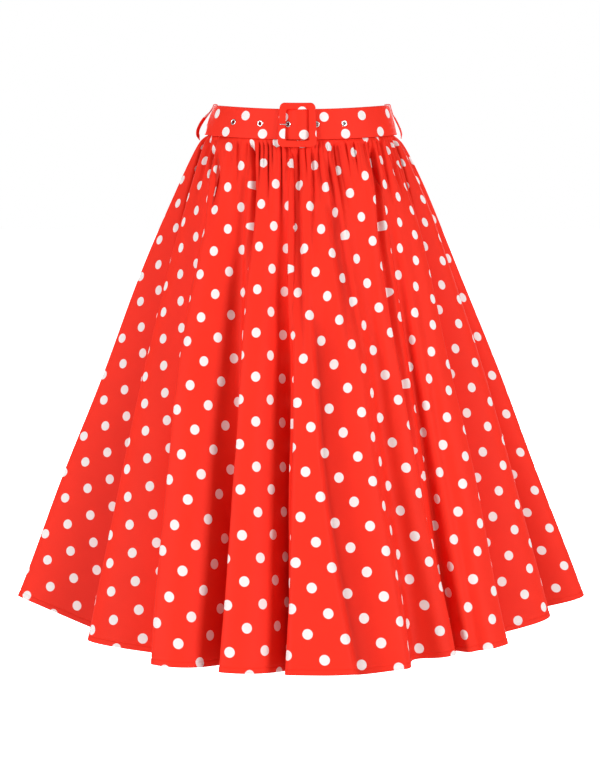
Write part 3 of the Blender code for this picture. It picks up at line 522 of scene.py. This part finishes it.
def cloth_material(name, red, white):
    """Woven cotton with the print, and painted shade: a little darker where the cloth lies deep in
    a fold.
    """
    nodes = Nodes(name)
    vector, u, v = nodes.uv()
    spot = dots(nodes, u, v)
    patch = nodes.noise(vector, 22.0, 3.0)
    thread = nodes.noise(vector, 900.0, 2.0)
    shade = nodes.math("MULTIPLY_ADD", patch, 0.10, 0.95)
    shade = nodes.math("MULTIPLY", shade, nodes.math("MULTIPLY_ADD", thread, 0.10, 0.95))
    colour = nodes.mix(spot, red, white)
    # Painted shade: the colour is mixed towards a darker red and white by a per-point attribute
    # that make_gore sets from fold and crease depth.
    painted_shade_depth = nodes.add("ShaderNodeAttribute", attribute_name="painted_shade_depth").outputs["Fac"]
    deep = nodes.mix(spot, PAINTED_SHADE_RED, PAINTED_SHADE_WHITE)
    colour = nodes.mix(painted_shade_depth, colour, deep)
    tint = nodes.add("ShaderNodeVectorMath", operation="SCALE")
    nodes.put(tint.inputs[0], colour)
    nodes.put(tint.inputs["Scale"], shade)
    nodes.put(nodes.shader.inputs["Base Color"], tint.outputs[0])
    nodes.fix(Roughness=0.62, Sheen_Weight=0.02, Sheen_Roughness=0.4,
              Sheen_Tint=(1.0, 0.55, 0.5, 1.0), Specular_IOR_Level=0.12)
    weave = nodes.math("MULTIPLY", nodes.wave(u, WEAVE_PITCH), nodes.wave(v, WEAVE_PITCH))
    height = nodes.math("ADD", nodes.math("MULTIPLY", weave, 0.3), thread)
    nodes.bump(height, 0.25, 0.0002)
    return nodes.material


cloth = cloth_material("spotted_cloth", (0.905, 0.030, 0.014, 1.0), (0.88, 0.82, 0.81, 1.0))
cloth_back = cloth_material("spotted_cloth_back", (0.80, 0.07, 0.045, 1.0),
                            (0.86, 0.62, 0.60, 1.0))


# --- the gores ---
def gore_uv(points, tilt, across_mm, down_mm):
    """Where each point of the grid lay on the flat cloth, in metres."""
    across, down = distances(points, 1), distances(points, 0)
    around = (across / across[:, -1:] - 0.5) * across[-1, -1] / HEM_RADIUS
    radius = HEM_RADIUS - down[-1].mean() * (1.0 - down / down[-1:])
    angle = around + math.radians(tilt)
    u = radius * np.sin(angle) + across_mm * MM
    v = radius * np.cos(angle) + down_mm * MM
    return np.stack([u, v], -1)


CLOTH_THICKNESS = 0.9 * MM
# FOLD_SHADE and CREASE_SHADE set painted shade: how far the cloth's colour is darkened in folds and
# creases.
FOLD_SHADE = 0.44                 # how dark the deepest folds and creases are, and how deep
FOLD_DEPTH = 32.0 * MM            # each has to be for that
CREASE_SHADE = 0.55
CREASE_DEPTH = 14.0 * MM
HEM_ROWS_MM = (11.0, 9.5, 8.6, 7.8, 7.0, 6.2, 5.4, 4.0, 2.0, 0.0)
CLOTH_LENGTH = 0.66               # that the hem's rows are shares of


def row_shares(count):
    """Rows down the skirt, closer together under the waistband and at the turned hem."""
    even = np.linspace(0.0, 1.0, count)
    hem = 1.0 - np.array(HEM_ROWS_MM) * MM / CLOTH_LENGTH
    return np.concatenate([even ** 1.35 * 0.975, hem])


def make_gore(node, start, end, tilt, across_mm, down_mm):
    """One gore, from its first to its last fold edge, and the angle of the ring that it is cut
    from.
    """
    first, last = FOLD_INDEX[start], FOLD_INDEX[end]
    if last <= first:
        last += FOLD_COUNT
    per_fold, rows = (22, 180) if node == "skirt_front" else (18, 130)
    places = np.linspace(first, last, (last - first) * per_fold + 1)
    place, share = np.meshgrid(places, row_shares(rows))
    points = base_point(place, share)
    uv = gore_uv(points, tilt, across_mm, down_mm)
    creased = relief(place, share)
    # Painted shade: how much the colour is darkened behind fold ridges and down in creases, per
    # point of the cloth.
    light = 1.0 - FOLD_SHADE * step(fold_hollow(place, share) / FOLD_DEPTH)
    light *= 1.0 - CREASE_SHADE * step(-creased / CREASE_DEPTH)
    shade = 1.0 - light
    out = creased + hem_relief(share)
    out += slow_waves(turn_of(place), share) * beside_zip(place, share)
    points = points + surface_normals(points) * out[..., None]
    half = surface_normals(points) * CLOTH_THICKNESS / 2
    piece = shell(node + "_cloth", points + half, points - half, uv, (cloth, cloth_back))
    # The painted shade goes on the mesh as a point attribute, which the cloth material reads.
    painted_shade_depth = piece.data.attributes.new("painted_shade_depth", "FLOAT", "POINT")
    painted_shade_depth.data.foreach_set("value", np.concatenate([shade.ravel()] * 2).astype(np.float32))
    ride_for(piece, node)
    # cut as part of a ring, whose angle is the hem's length over its radius
    angle = np.linalg.norm(np.diff(base_point(places, np.ones(len(places))), axis=0),
                           axis=1).sum() / HEM_RADIUS


# --- the belt ---
BELT_THICKNESS = 1.8 * MM
BELT_END_THICKNESS = 1.0 * MM
BELT_STAND_LEFT = 0.0050
BELT_STAND_RIGHT = 0.0020
BUCKLE_TURN = -2.2
BUCKLE_Z = -0.0006
FRAME_HALF = (0.0254, 0.0290)
OPENING_HALF = (0.0160, 0.0203)
FRAME_CORNER = 0.0070
OPENING_CORNER = 0.0030
FRAME_BACK = 6.5 * MM
FRAME_FRONT = 9.5 * MM
FRAME_TILT = 1.4 * MM
BAR_PATH = ((-25.6, 8.2), (-24.0, 4.9), (-21.9, 2.8), (0.0, 2.8), (22.2, 2.8), (23.6, 4.4),
            (24.6, 7.6))
BAR_RADIUS = 1.0 * MM
PRONG_RADIUS = 0.7 * MM
EYELET_HOLE = 2.3 * MM
EYELET_BARREL = 2.6 * MM
EYELET_FLANGE = 4.0 * MM
BELT_HOLE = 2.95 * MM
EYELET_TURNS = (-47.1, -26.2, -8.0, 9.5, 27.4)
# mm along from the buckle's bar, mm out of the waistband, mm thick
FIXED_END = (
    (13.0, 3.0, 1.0), (7.0, 4.0, 1.0), (3.0, 4.7, 1.0), (0.0, 4.75, 1.0), (-1.6, 4.1, 1.0),
    (-2.1, 2.8, 1.0), (-1.6, 1.5, 1.0), (0.0, 0.85, 1.0), (4.0, 0.9, 1.0), (9.0, 1.4, 1.8),
)
FREE_END = (
    (-55.0, 1.4), (-40.0, 1.6), (-31.0, 3.2), (-26.0, 4.1), (-16.5, 4.3), (-12.0, 4.6),
    (-7.7, 4.95), (-4.5, 5.9), (0.0, 6.7), (6.0, 6.3), (13.0, 5.0), (17.0, 4.4),
    (26.0, 4.2), (34.0, 3.7),
)
PRONG_SLOT = (3.2 * MM, 2.2 * MM, (0.2 * MM, 5.5 * MM))  # half width, half height, depths
BELT_STEP = 6.0
TIP_TURN = 101.0
PRONG_PATH = (
    (1.7, 1.9), (2.0, 2.9), (1.3, 4.4), (-0.6, 4.8), (-3.5, 4.1), (-6.5, 3.1), (-9.8, 2.5),
    (-12.0, 2.9), (-13.0, 4.7), (-13.2, 7.0), (-13.5, 9.6), (-14.6, 11.2), (-17.0, 11.6),
    (-21.0, 11.4), (-24.0, 11.15),
)
BELT_PRINT = (24.0, -9.5, 1.05)   # where the print falls on it in mm, and its scale
BUCKLE_SHIFT = (0.0175, 0.0122)   # and on the buckle's cover, in metres


def belt_point(degrees, height, depth):
    """As waist_point, with the lower edge standing off at the hips."""
    sine = np.sin(np.radians(degrees))
    stand = np.where(sine < 0.0, BELT_STAND_LEFT, BELT_STAND_RIGHT)
    up = (height + BELT_HALF_HEIGHT) / (2.0 * BELT_HALF_HEIGHT)
    return waist_point(degrees, height, depth + stand * sine ** 4 * (1.0 - up * up))


def belt_radius(depth):
    return (WAIST_TOP[0] + WAIST_BOTTOM[0]) / 2.0 + depth


def turn_along(along, depth):
    return BUCKLE_TURN + math.degrees(along / belt_radius(depth))


def buckle_point(along, height, depth):
    return waist_point(turn_along(along, depth), height, depth)


def belt_stations():
    """The belt's path as (turn, depth, thickness) from its fixed end to its tip."""
    path = [(turn_along(x * MM, d * MM), d * MM, t * MM) for x, d, t in FIXED_END]

    def run_to(end, extra):
        """Even steps towards a turn, at one depth."""
        start, depth, _ = path[-1]
        count = round((end - start) / BELT_STEP)
        for number in range(1, count + extra):
            path.append((start + (end - start) * number / count, depth, BELT_THICKNESS))

    run_to(360.0 + turn_along(FREE_END[0][0] * MM, path[-1][1]), 0)
    for x, d in FREE_END:
        path.append((360.0 + turn_along(x * MM, d * MM), d * MM, BELT_THICKNESS))
    run_to(360.0 + TIP_TURN, 1)
    return np.array(path)


def finer(points, times):
    """A smooth curve through points, with a few more between each two (Catmull-Rom)."""
    points = np.asarray(points, dtype=float)
    padded = np.concatenate([2 * points[:1] - points[1:2], points, 2 * points[-1:] - points[-2:-1]])
    made = []
    for a, b, c, d in zip(padded, padded[1:], padded[2:], padded[3:]):
        for part in np.arange(times) / times:
            made.append(0.5 * (2 * b + (c - a) * part + (2 * a - 5 * b + 4 * c - d) * part ** 2
                               + (3 * b - a - 3 * c + d) * part ** 3))
    made.append(points[-1])
    return np.array(made)


def ring_mesh(name, sections, closed, uv, look):
    """A mesh through sections of one size, each a closed loop of points."""
    sections = np.asarray(sections)
    stations, sides = sections.shape[:2]
    index = np.arange(stations * sides).reshape(stations, sides)
    nexts = np.roll(index, -1, axis=0) if closed else index[1:]
    here = index if closed else index[:-1]
    faces = np.stack([here.ravel(), np.roll(here, -1, 1).ravel(),
                      np.roll(nexts, -1, 1).ravel(), nexts.ravel()], 1).tolist()
    if not closed:
        faces.append(index[0][::-1].tolist())
        faces.append(index[-1].tolist())
    piece = add_mesh(name, sections.reshape(-1, 3), faces, uv, (look,))
    body = bmesh.new()
    body.from_mesh(piece.data)
    if body.calc_volume(signed=True) < 0.0:
        bmesh.ops.reverse_faces(body, faces=body.faces)
    body.to_mesh(piece.data)
    body.free()
    return piece


def strip_section(half_height, thick, edge):
    """(height, out) round a strip with soft edges, and how far round each corner lies."""
    heights = half_height * np.array([-1, -0.985, -0.95, -0.90, -0.86, -0.6, -0.3, 0, 0.3, 0.6,
                                      0.86, 0.90, 0.95, 0.985, 1])
    soft = 1.0 - edge * np.abs(heights / half_height) ** 24
    groove = 0.16 * MM * np.exp(-((np.abs(heights) - half_height * 0.88) / (0.7 * MM)) ** 2)
    out = thick / 2 * soft - groove
    return (np.concatenate([heights, heights[::-1]]),
            np.concatenate([out, -thick / 2 * soft[::-1]]))


def strap_depth(turn):
    """Depth of the free strap's middle where it carries an eyelet."""
    turns = [turn_along(x * MM, d * MM) for x, d in FREE_END]
    return float(np.interp(turn, turns, [d * MM for _, d in FREE_END]))


def eyelet_frame(turn):
    """Centre and axes (along the belt, up the belt, out of it) of an eyelet."""
    depth = strap_depth(turn)
    reach = math.degrees(EYELET_FLANGE / belt_radius(depth))
    centre = belt_point(turn, 0.0, depth)
    along = unit(belt_point(turn + reach, 0.0, strap_depth(turn + reach))
                 - belt_point(turn - reach, 0.0, strap_depth(turn - reach)))
    up = unit(belt_point(turn, BELT_HALF_HEIGHT, depth)
              - belt_point(turn, -BELT_HALF_HEIGHT, depth))
    return centre, along, up, unit(np.cross(along, up))


def turned(axes, profile, sides):
    """Sections of a ring turned about an axis, through (radius, height) points."""
    centre, along, up, out = axes
    sections = []
    for side in range(sides):
        angle = 2.0 * math.pi * side / sides
        way = along * math.cos(angle) + up * math.sin(angle)
        sections.append([centre + way * radius + out * height for radius, height in profile])
    return sections


def make_belt():
    """The strap, with a hole for each eyelet and a slot for the prong."""
    stations = finer(belt_stations(), 5)
    middles = np.array([belt_point(turn, 0.0, depth) for turn, depth, _ in stations])
    along = np.gradient(middles, axis=0)
    along[:, 2] = 0.0
    along = unit(along)
    side = np.stack([along[:, 1], -along[:, 0], np.zeros(len(along))], 1)
    arc = distances(middles, 0)
    front = np.interp(360.0, stations[-160:, 0], arc[-160:])
    sections, uv = [], []
    for (turn, depth, thick), way, far in zip(stations, side, arc):
        heights, outs = strip_section(BELT_HALF_HEIGHT, thick, 0.55)
        sections.append([belt_point(turn, h, depth) + way * o for h, o in zip(heights, outs)])
        uv += [((h + BELT_PRINT[1] * MM) * BELT_PRINT[2],
                (far - front + BELT_PRINT[0] * MM) * BELT_PRINT[2]) for h in heights]
    belt = ring_mesh("belt_strap", sections, False, np.array(uv), cloth)
    for turn in EYELET_TURNS:
        centre, one, up, out = eyelet_frame(turn)
        ring = [[centre + (one * math.cos(t) + up * math.sin(t)) * BELT_HOLE + out * h
                 for t in np.arange(24) * math.pi / 12] for h in (-2 * MM, 2 * MM)]
        cut_out(belt, ring)
    wide, high, (low, top) = PRONG_SLOT
    corners = ((-high, top), (high, top), (high, low), (-high, low))
    slot = [[buckle_point(x, z, d) for z, d in corners] for x in (-wide, wide)]
    cut_out(belt, slot)
    ride_for(belt, "belt")


def cut_out(target, sections):
    """Take a bar through these sections out of a piece."""
    cutter = ring_mesh("cutter", sections, False, None, cloth)
    modifier = target.modifiers.new("cut", "BOOLEAN")
    modifier.operation = "DIFFERENCE"
    modifier.solver = "EXACT"
    modifier.object = cutter
    apply_modifiers(target)
    bpy.data.objects.remove(cutter)


def apply_modifiers(target):
    bpy.context.view_layer.update()
    graph = bpy.context.evaluated_depsgraph_get()
    mesh = bpy.data.meshes.new_from_object(target.evaluated_get(graph))
    target.modifiers.clear()
    target.data = mesh


def make_eyelets():
    """A flat-backed barrel with a domed flange for each hole."""
    face = BELT_THICKNESS / 2.0 + 0.25 * MM
    profile = [(EYELET_HOLE, -BELT_THICKNESS / 2.0), (EYELET_BARREL, -BELT_THICKNESS / 2.0),
               (EYELET_BARREL, face), (EYELET_FLANGE - 0.05 * MM, face)]
    for angle in np.linspace(-0.35, 1.0, 9) * math.pi / 2 * 1.9:
        share = (angle + 1.05) / 4.0
        profile.append((EYELET_FLANGE - (EYELET_FLANGE - EYELET_HOLE) * share,
                        face + 0.55 * MM * math.sin(math.pi * min(max(share, 0.0), 1.0)) ** 0.6))
    for number, turn in enumerate(EYELET_TURNS, start=1):
        sections = turned(eyelet_frame(turn), profile, 48)
        ring = ring_mesh("eyelet_ring_%d" % number, sections, True, None, silver)
        ride_for(ring, "eyelet_%d" % number)


def tube(middles, radius, sides):
    """Sections of a round wire through points, thinning a little to a round end."""
    middles = np.asarray(middles)
    along = unit(np.gradient(middles, axis=0))
    guide = unit(np.cross(along[0], [0.31, 0.17, 0.93]))
    sections = []
    for number, (middle, way) in enumerate(zip(middles, along)):
        guide = unit(guide - way * guide.dot(way))
        other = np.cross(way, guide)
        size = radius * (0.6 if number in (0, len(middles) - 1) else 1.0)
        sections.append([middle + (guide * math.cos(t) + other * math.sin(t)) * size
                         for t in np.arange(sides) * 2 * math.pi / sides])
    return sections


def make_prong():
    path = finer([buckle_point(x * MM, 0.0, d * MM) for x, d in PRONG_PATH], 5)
    piece = ring_mesh("buckle_tongue", tube(path, PRONG_RADIUS, 16), False, None, silver)
    ride_for(piece, "buckle_prong")


def rounded_outline(half_width, half_height, corner, corner_steps):
    outline = []
    for quarter, (side_x, side_z) in enumerate(((1, 1), (-1, 1), (-1, -1), (1, -1))):
        for number in range(corner_steps + 1):
            angle = math.radians(90.0 * (quarter + number / corner_steps))
            outline.append((side_x * (half_width - corner) + corner * math.cos(angle),
                            side_z * (half_height - corner) + corner * math.sin(angle)))
    return outline


def along_sides(outline, steps):
    """The same outline with points added along its straight sides."""
    made = []
    for one, two in zip(outline, outline[1:] + outline[:1]):
        far = math.dist(one, two)
        count = steps if far > 5 * MM else 1
        for number in range(count):
            share = number / count
            made.append((one[0] + (two[0] - one[0]) * share, one[1] + (two[1] - one[1]) * share))
    return made


def make_buckle():
    outside = along_sides(rounded_outline(*FRAME_HALF, FRAME_CORNER, 10), 14)
    inside = along_sides(rounded_outline(*OPENING_HALF, OPENING_CORNER, 10), 14)
    middle, half = (FRAME_BACK + FRAME_FRONT) / 2, (FRAME_FRONT - FRAME_BACK) / 2
    sections, uv = [], []
    for (out_x, out_z), (in_x, in_z) in zip(outside, inside):
        section = []
        for number in range(24):
            angle = 2 * math.pi * number / 24
            # a padded bar: a flat-sided round section
            share = 0.5 + 0.5 * math.copysign(abs(math.cos(angle)) ** 0.55, math.cos(angle))
            deep = middle + half * math.copysign(abs(math.sin(angle)) ** 0.62, math.sin(angle))
            along = out_x + (in_x - out_x) * share
            height = BUCKLE_Z + out_z + (in_z - out_z) * share
            tilt = FRAME_TILT * (0.5 - height / (2.0 * FRAME_HALF[1]))
            section.append(buckle_point(along, height, deep + tilt))
            uv.append((along + BUCKLE_SHIFT[0], height + BUCKLE_SHIFT[1]))
        sections.append(section)
    frame_piece = ring_mesh("buckle_cover", sections, True, np.array(uv), cloth)
    ride_for(frame_piece, "buckle_frame")
    bar = finer([buckle_point(0.0, z * MM, d * MM) for z, d in BAR_PATH], 6)
    piece = ring_mesh("buckle_bar", tube(bar, BAR_RADIUS, 14), False, None, silver)
    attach(piece, "skirt")


LOOP_WIDTH = 0.0060
LOOP_THICKNESS = 0.0012
# mm out of the waistband and mm up, along each loop
LOOP_LEFT = (
    (-6.6, 20.45), (-5.0, 20.8), (-3.3, 21.0), (-1.4, 20.6), (-0.5, 18.4), (1.2, 15.0),
    (4.4, 10.5), (10.8, 3.2), (16.0, -4.2), (19.8, -11.6), (21.1, -17.7), (19.9, -23.6),
    (18.3, -27.4),
)
LOOP_RIGHT = (
    (-6.6, 20.45), (-5.0, 20.8), (-2.5, 21.0), (0.7, 20.7), (1.7, 18.2), (3.0, 14.0),
    (4.7, 9.5), (6.9, 4.3), (12.3, -6.1), (15.9, -14.5), (17.0, -20.0), (16.6, -25.4),
)


def make_loop(name, node, turn, table, twist):
    """A narrow folded strip from the waistband's top edge out to the skirt below the belt."""
    angle = math.radians(turn)
    out = np.array([math.sin(angle), -math.cos(angle), 0.0])
    across = np.array([math.cos(angle), math.sin(angle), 0.0])
    base = (WAIST_TOP[0] + WAIST_BOTTOM[0]) / 2.0
    rise = float(waist_height(angle))
    path = finer([out * (base + d * MM) + np.array([0.0, 0.0, h * MM + rise]) for d, h in table], 6)
    along = unit(np.gradient(path, axis=0))
    normal = np.cross(along, across)
    arc = distances(path, 0)
    heights, outs = strip_section(LOOP_WIDTH / 2, LOOP_THICKNESS, 0.5)
    sections, uv = [], []
    for point, way, far in zip(path, normal, arc):
        lean = math.radians(twist) * float(step(far / arc[-1] / 0.45 - 0.25)
                                           * step((1.0 - far / arc[-1]) / 0.12))
        wide = across * math.cos(lean) + way * math.sin(lean)
        thin = way * math.cos(lean) - across * math.sin(lean)
        sections.append([point + wide * h + thin * o for h, o in zip(heights, outs)])
        uv += [(h + 0.019, far + 0.008) for h in heights]
    piece = ring_mesh(name, sections, False, np.array(uv), cloth)
    ride_for(piece, node)


def make_waistband():
    """The band, open at the centre back."""
    opening = math.degrees(0.0002 / WAIST_BOTTOM[0])
    turns = np.linspace(-180.0 + opening, 180.0 - opening, 289)
    heights, outs = strip_section(BAND_HALF_HEIGHT, BAND_THICKNESS, 0.4)
    sections, uv = [], []
    for turn in turns:
        sections.append([waist_point(turn, h, -BAND_THICKNESS / 2 + o)
                         for h, o in zip(heights, outs)])
        uv += [(h + 0.011, math.radians(turn) * 0.106 + 0.006) for h in heights]
    piece = ring_mesh("waistband_cloth", sections, False, np.array(uv), cloth)
    ride_for(piece, "waistband")


def hard_surface(name, scale, smoothest, roughest, bump):
    """A hard finish with fine wear in its gloss: the nodes and the wear."""
    nodes = Nodes(name)
    place = nodes.add("ShaderNodeTexCoord").outputs["Object"]
    fine = nodes.noise(place, scale, 3.0)
    gloss = nodes.ramp(fine, 0.3, 0.7, smoothest, roughest)
    nodes.put(nodes.shader.inputs["Roughness"], gloss)
    nodes.bump(fine, bump, 0.0001)
    return nodes, fine


def metal_material(name, colour, roughness, scale):
    nodes, _ = hard_surface(name, scale, roughness - 0.06, roughness + 0.08, 0.12)
    nodes.fix(Base_Color=colour, Metallic=1.0)
    return nodes.material


silver = metal_material("silver", (0.82, 0.82, 0.81, 1.0), 0.22, 900.0)

for gore in GORES:
    make_gore(*gore)
make_waistband()
make_belt()
make_eyelets()
make_buckle()
make_prong()
make_loop("loop_left_cloth", "belt_loop_left", -90.0, LOOP_LEFT, 42.0)
make_loop("loop_right_cloth", "belt_loop_right", 90.0, LOOP_RIGHT, 20.0)


# --- the zip, at the centre back ---
ZIP_PLACE = float(FOLD_INDEX["n_ridge"])
ZIP_ENDS = (0.016, 0.28)          # shares of the drop
ZIP_HALF_WIDTH = 0.0108
ZIP_EDGE = 0.0006                 # where each tape starts, beside the seam
ZIP_GAP = 0.0001                  # between the teeth and the tapes' level
ZIP_THICKNESS = 0.0005
ZIP_DEPTH = 0.0013                # from the middle of the cloth in to the middle of the tapes
TOOTH_PITCH = 0.0021


def zip_axes(share):
    """A point in the middle of the cloth on the centre-back seam: point, down, across, out."""
    line = base_point(np.full(3, ZIP_PLACE), np.array([share - 0.004, share, share + 0.004]))
    down = unit(line[2] - line[0])
    across = np.array([1.0, 0.0, 0.0])
    out = np.cross(down, across)
    return line[1], down, across, unit(out if out[1] > 0.0 else -out)


def zip_spot(share, aside):
    """A point in the middle of the cloth, a distance to the side of the seam, and outwards."""
    near = base_point(ZIP_PLACE + np.array([-0.05, 0.0, 0.05]), np.full(3, share))
    speed = np.linalg.norm(near[2] - near[0]) / 0.1
    place, shares = np.meshgrid(ZIP_PLACE + aside / speed + np.array([-0.02, 0.0, 0.02]),
                                share + np.array([-0.004, 0.0, 0.004]))
    points = base_point(place, shares)
    outward = surface_normals(points)[1, 1]
    return points[1, 1], outward if outward[1] > 0.0 else -outward


def make_tapes():
    shares = np.linspace(*ZIP_ENDS, 60)
    # each tape: its edge, its woven field with a stitched line, and the raised cord of the teeth
    profile = ((ZIP_EDGE, 0.0), (0.0014, 0.0), (0.0030, 0.0), (0.0052, 0.0), (0.0058, 0.00016),
               (0.0064, 0.0), (0.0090, 0.0), (0.0104, -0.00004), (ZIP_HALF_WIDTH, -0.0001))
    for side, name, gore in ((-1.0, "zip_tape_left", "skirt_back_right_cloth"),
                             (1.0, "zip_tape_right", "skirt_back_left_cloth")):
        outer, inner, flat = [], [], []
        for share in shares:
            row_out, row_in, row_uv = [], [], []
            for aside, lift in profile[::-1] if side > 0.0 else profile:
                point, outward = zip_spot(share, side * aside)
                middle = point - outward * (ZIP_DEPTH - lift)
                row_out.append(middle + outward * ZIP_THICKNESS / 2)
                row_in.append(middle - outward * ZIP_THICKNESS / 2)
                row_uv.append((side * aside, share * 0.68))
            outer.append(row_out)
            inner.append(row_in)
            flat.append(row_uv)
        piece = shell(name, np.array(outer), np.array(inner), np.array(flat),
                      (tape_cloth, tape_cloth))
        if side < 0.0:
            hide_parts("zip_tape")
        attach(piece, "skirt")


def make_teeth():
    """The two rows of coil teeth, one row from each side in turn."""
    points, faces = [], []
    top, low = zip_axes(ZIP_ENDS[0])[0], zip_axes(ZIP_ENDS[1])[0]
    count = int(np.linalg.norm(low - top) / TOOTH_PITCH)
    for number in range(2 * count):
        share = ZIP_ENDS[0] + (ZIP_ENDS[1] - ZIP_ENDS[0]) * (number + 0.5) / (2 * count)
        point, down, across, out = zip_axes(share)
        side = 1.0 if number % 2 else -1.0
        centre = point - out * (ZIP_DEPTH + ZIP_GAP) + across * side * ZIP_EDGE
        start = len(points)
        # a rounded coil tooth, wider at its head
        for along, wide in ((-0.0014, 0.00050), (-0.0002, 0.00042), (0.0010, 0.00060),
                            (0.0016, 0.00036)):
            for turn in range(8):
                angle = 2.0 * math.pi * turn / 8
                points.append(centre - across * side * along + down * math.cos(angle) * wide
                              + out * math.sin(angle) * 0.00085)
        for ring in range(3):
            for turn in range(8):
                a, b = start + ring * 8 + turn, start + ring * 8 + (turn + 1) % 8
                face = (a, b, b + 8, a + 8)
                faces.append(face if side < 0.0 else face[::-1])
        first, last = tuple(range(start, start + 8)), tuple(range(start + 24, start + 32))
        faces.append(first[::-1] if side < 0.0 else first)
        faces.append(last if side < 0.0 else last[::-1])
    teeth = add_mesh("zip_teeth", points, faces, None, (tooth_plastic,))
    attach(teeth, "skirt")


def softened(node, name, look, width, body):
    """A metal part of the zip with its CAD shape, its edges rounded."""
    piece = add_mesh(name, [v.co[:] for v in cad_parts[node].data.vertices],
                     [tuple(f.vertices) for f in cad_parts[node].data.polygons], None, (look,))
    mesh = bmesh.new()
    mesh.from_mesh(piece.data)
    bmesh.ops.remove_doubles(mesh, verts=mesh.verts, dist=2e-6)
    bmesh.ops.dissolve_limit(mesh, angle_limit=0.02, verts=mesh.verts, edges=mesh.edges)
    mesh.to_mesh(piece.data)
    mesh.free()
    bevel = piece.modifiers.new("edges", "BEVEL")
    bevel.width, bevel.segments, bevel.limit_method = width, 3, "ANGLE"
    bevel.angle_limit = math.radians(28.0)
    apply_modifiers(piece)
    piece.data.shade_smooth()
    ride_for(piece, node, body)


def tape_material():
    nodes = Nodes("zip_tape_weave")
    vector, u, v = nodes.uv()
    ribbed = nodes.math("MULTIPLY", nodes.wave(v, 0.0011), nodes.wave(u, 0.0008))
    height = nodes.math("ADD", ribbed, nodes.noise(vector, 1300.0))
    colour = nodes.mix(nodes.ramp(height, -0.6, 1.5), (0.52, 0.020, 0.012, 1.0),
                       (0.72, 0.045, 0.028, 1.0))
    nodes.put(nodes.shader.inputs["Base Color"], colour)
    nodes.fix(Roughness=0.75)
    nodes.bump(height, 0.5, 0.0002)
    return nodes.material


def enamel_material(name, colour, dark, roughness):
    nodes, fine = hard_surface(name, 700.0, roughness - 0.05, roughness + 0.12, 0.10)
    mottled = nodes.mix(nodes.ramp(fine, 0.35, 0.75), colour, dark)
    nodes.put(nodes.shader.inputs["Base Color"], mottled)
    return nodes.material


tape_cloth = tape_material()
tooth_plastic = enamel_material("zip_teeth_plastic", (0.66, 0.028, 0.018, 1.0),
                                (0.50, 0.018, 0.010, 1.0), 0.38)
slider_enamel = enamel_material("slider_enamel", (0.64, 0.024, 0.015, 1.0),
                                (0.45, 0.018, 0.012, 1.0), 0.25)
pull_metal = metal_material("pull_metal", (0.80, 0.80, 0.79, 1.0), 0.24, 500.0)
make_tapes()
make_teeth()
softened("zip_slider", "zip_slider_body", slider_enamel, 0.45 * MM, "skirt")
softened("zip_pull", "zip_pull_tab", pull_metal, 0.28 * MM, "zip_pull_body")


# --- studio ---
FLOOR_Z = -1.02
FLOOR_GLOW = 1.3
WORLD_LIGHT = 0.21
PLAIN_WHITE = (1.0, 1.0, 1.0, 1.0)
LIT = Vector((0.0, 0.0, -0.35))   # where the lights point
LIGHTS = (
    ("key_left", (-3.2, -2.6, 0.7), (1.4, 1.8), 114.0),
    ("key_right", (3.2, -2.6, 0.7), (1.4, 1.8), 112.0),
    ("back_left", (-1.5, 3.7, 0.8), (1.6, 1.8), 70.0),
    ("back_right", (1.5, 3.7, 0.8), (1.6, 1.8), 70.0),
)


def make_stage():
    """A plain pale floor, which the camera sees a little brighter than the lights make it."""
    size = 14.0
    points = [(-size, -size, FLOOR_Z), (size, -size, FLOOR_Z), (size, size, FLOOR_Z),
              (-size, size, FLOOR_Z)]
    nodes = Nodes("floor_paint")
    nodes.fix(Base_Color=(0.90, 0.90, 0.90, 1.0), Roughness=0.9, Emission_Color=PLAIN_WHITE)
    seen = nodes.add("ShaderNodeLightPath").outputs["Is Camera Ray"]
    nodes.put(nodes.shader.inputs["Emission Strength"], nodes.math("MULTIPLY", seen, FLOOR_GLOW))
    add_mesh("floor", points, [(0, 1, 2, 3)], None, (nodes.material,), False)


def add_area(name, place, size, power):
    data = bpy.data.lights.new(name, "AREA")
    data.shape = "RECTANGLE"
    data.size, data.size_y = size
    data.energy = power
    lamp = bpy.data.objects.new(name, data)
    lamp.location = place
    lamp.rotation_euler = (LIT - Vector(place)).to_track_quat("-Z", "Y").to_euler()
    bpy.context.scene.collection.objects.link(lamp)


def make_lights():
    """The world lights the object dimly and is white to the camera."""
    world = bpy.data.worlds.new("studio")
    world.use_nodes = True
    tree = world.node_tree
    dim = tree.nodes["Background"]
    seen = tree.nodes.new("ShaderNodeBackground")
    dim.inputs["Color"].default_value = seen.inputs["Color"].default_value = PLAIN_WHITE
    dim.inputs["Strength"].default_value = WORLD_LIGHT
    ray = tree.nodes.new("ShaderNodeLightPath")
    mix = tree.nodes.new("ShaderNodeMixShader")
    for given, taken in ((ray.outputs["Is Camera Ray"], mix.inputs[0]),
                         (dim.outputs[0], mix.inputs[1]), (seen.outputs[0], mix.inputs[2]),
                         (mix.outputs[0], tree.nodes["World Output"].inputs[0])):
        tree.links.new(given, taken)
    bpy.context.scene.world = world
    for light in LIGHTS:
        add_area(*light)
    bpy.context.scene.view_settings.view_transform = "Standard"


make_stage()
make_lights()
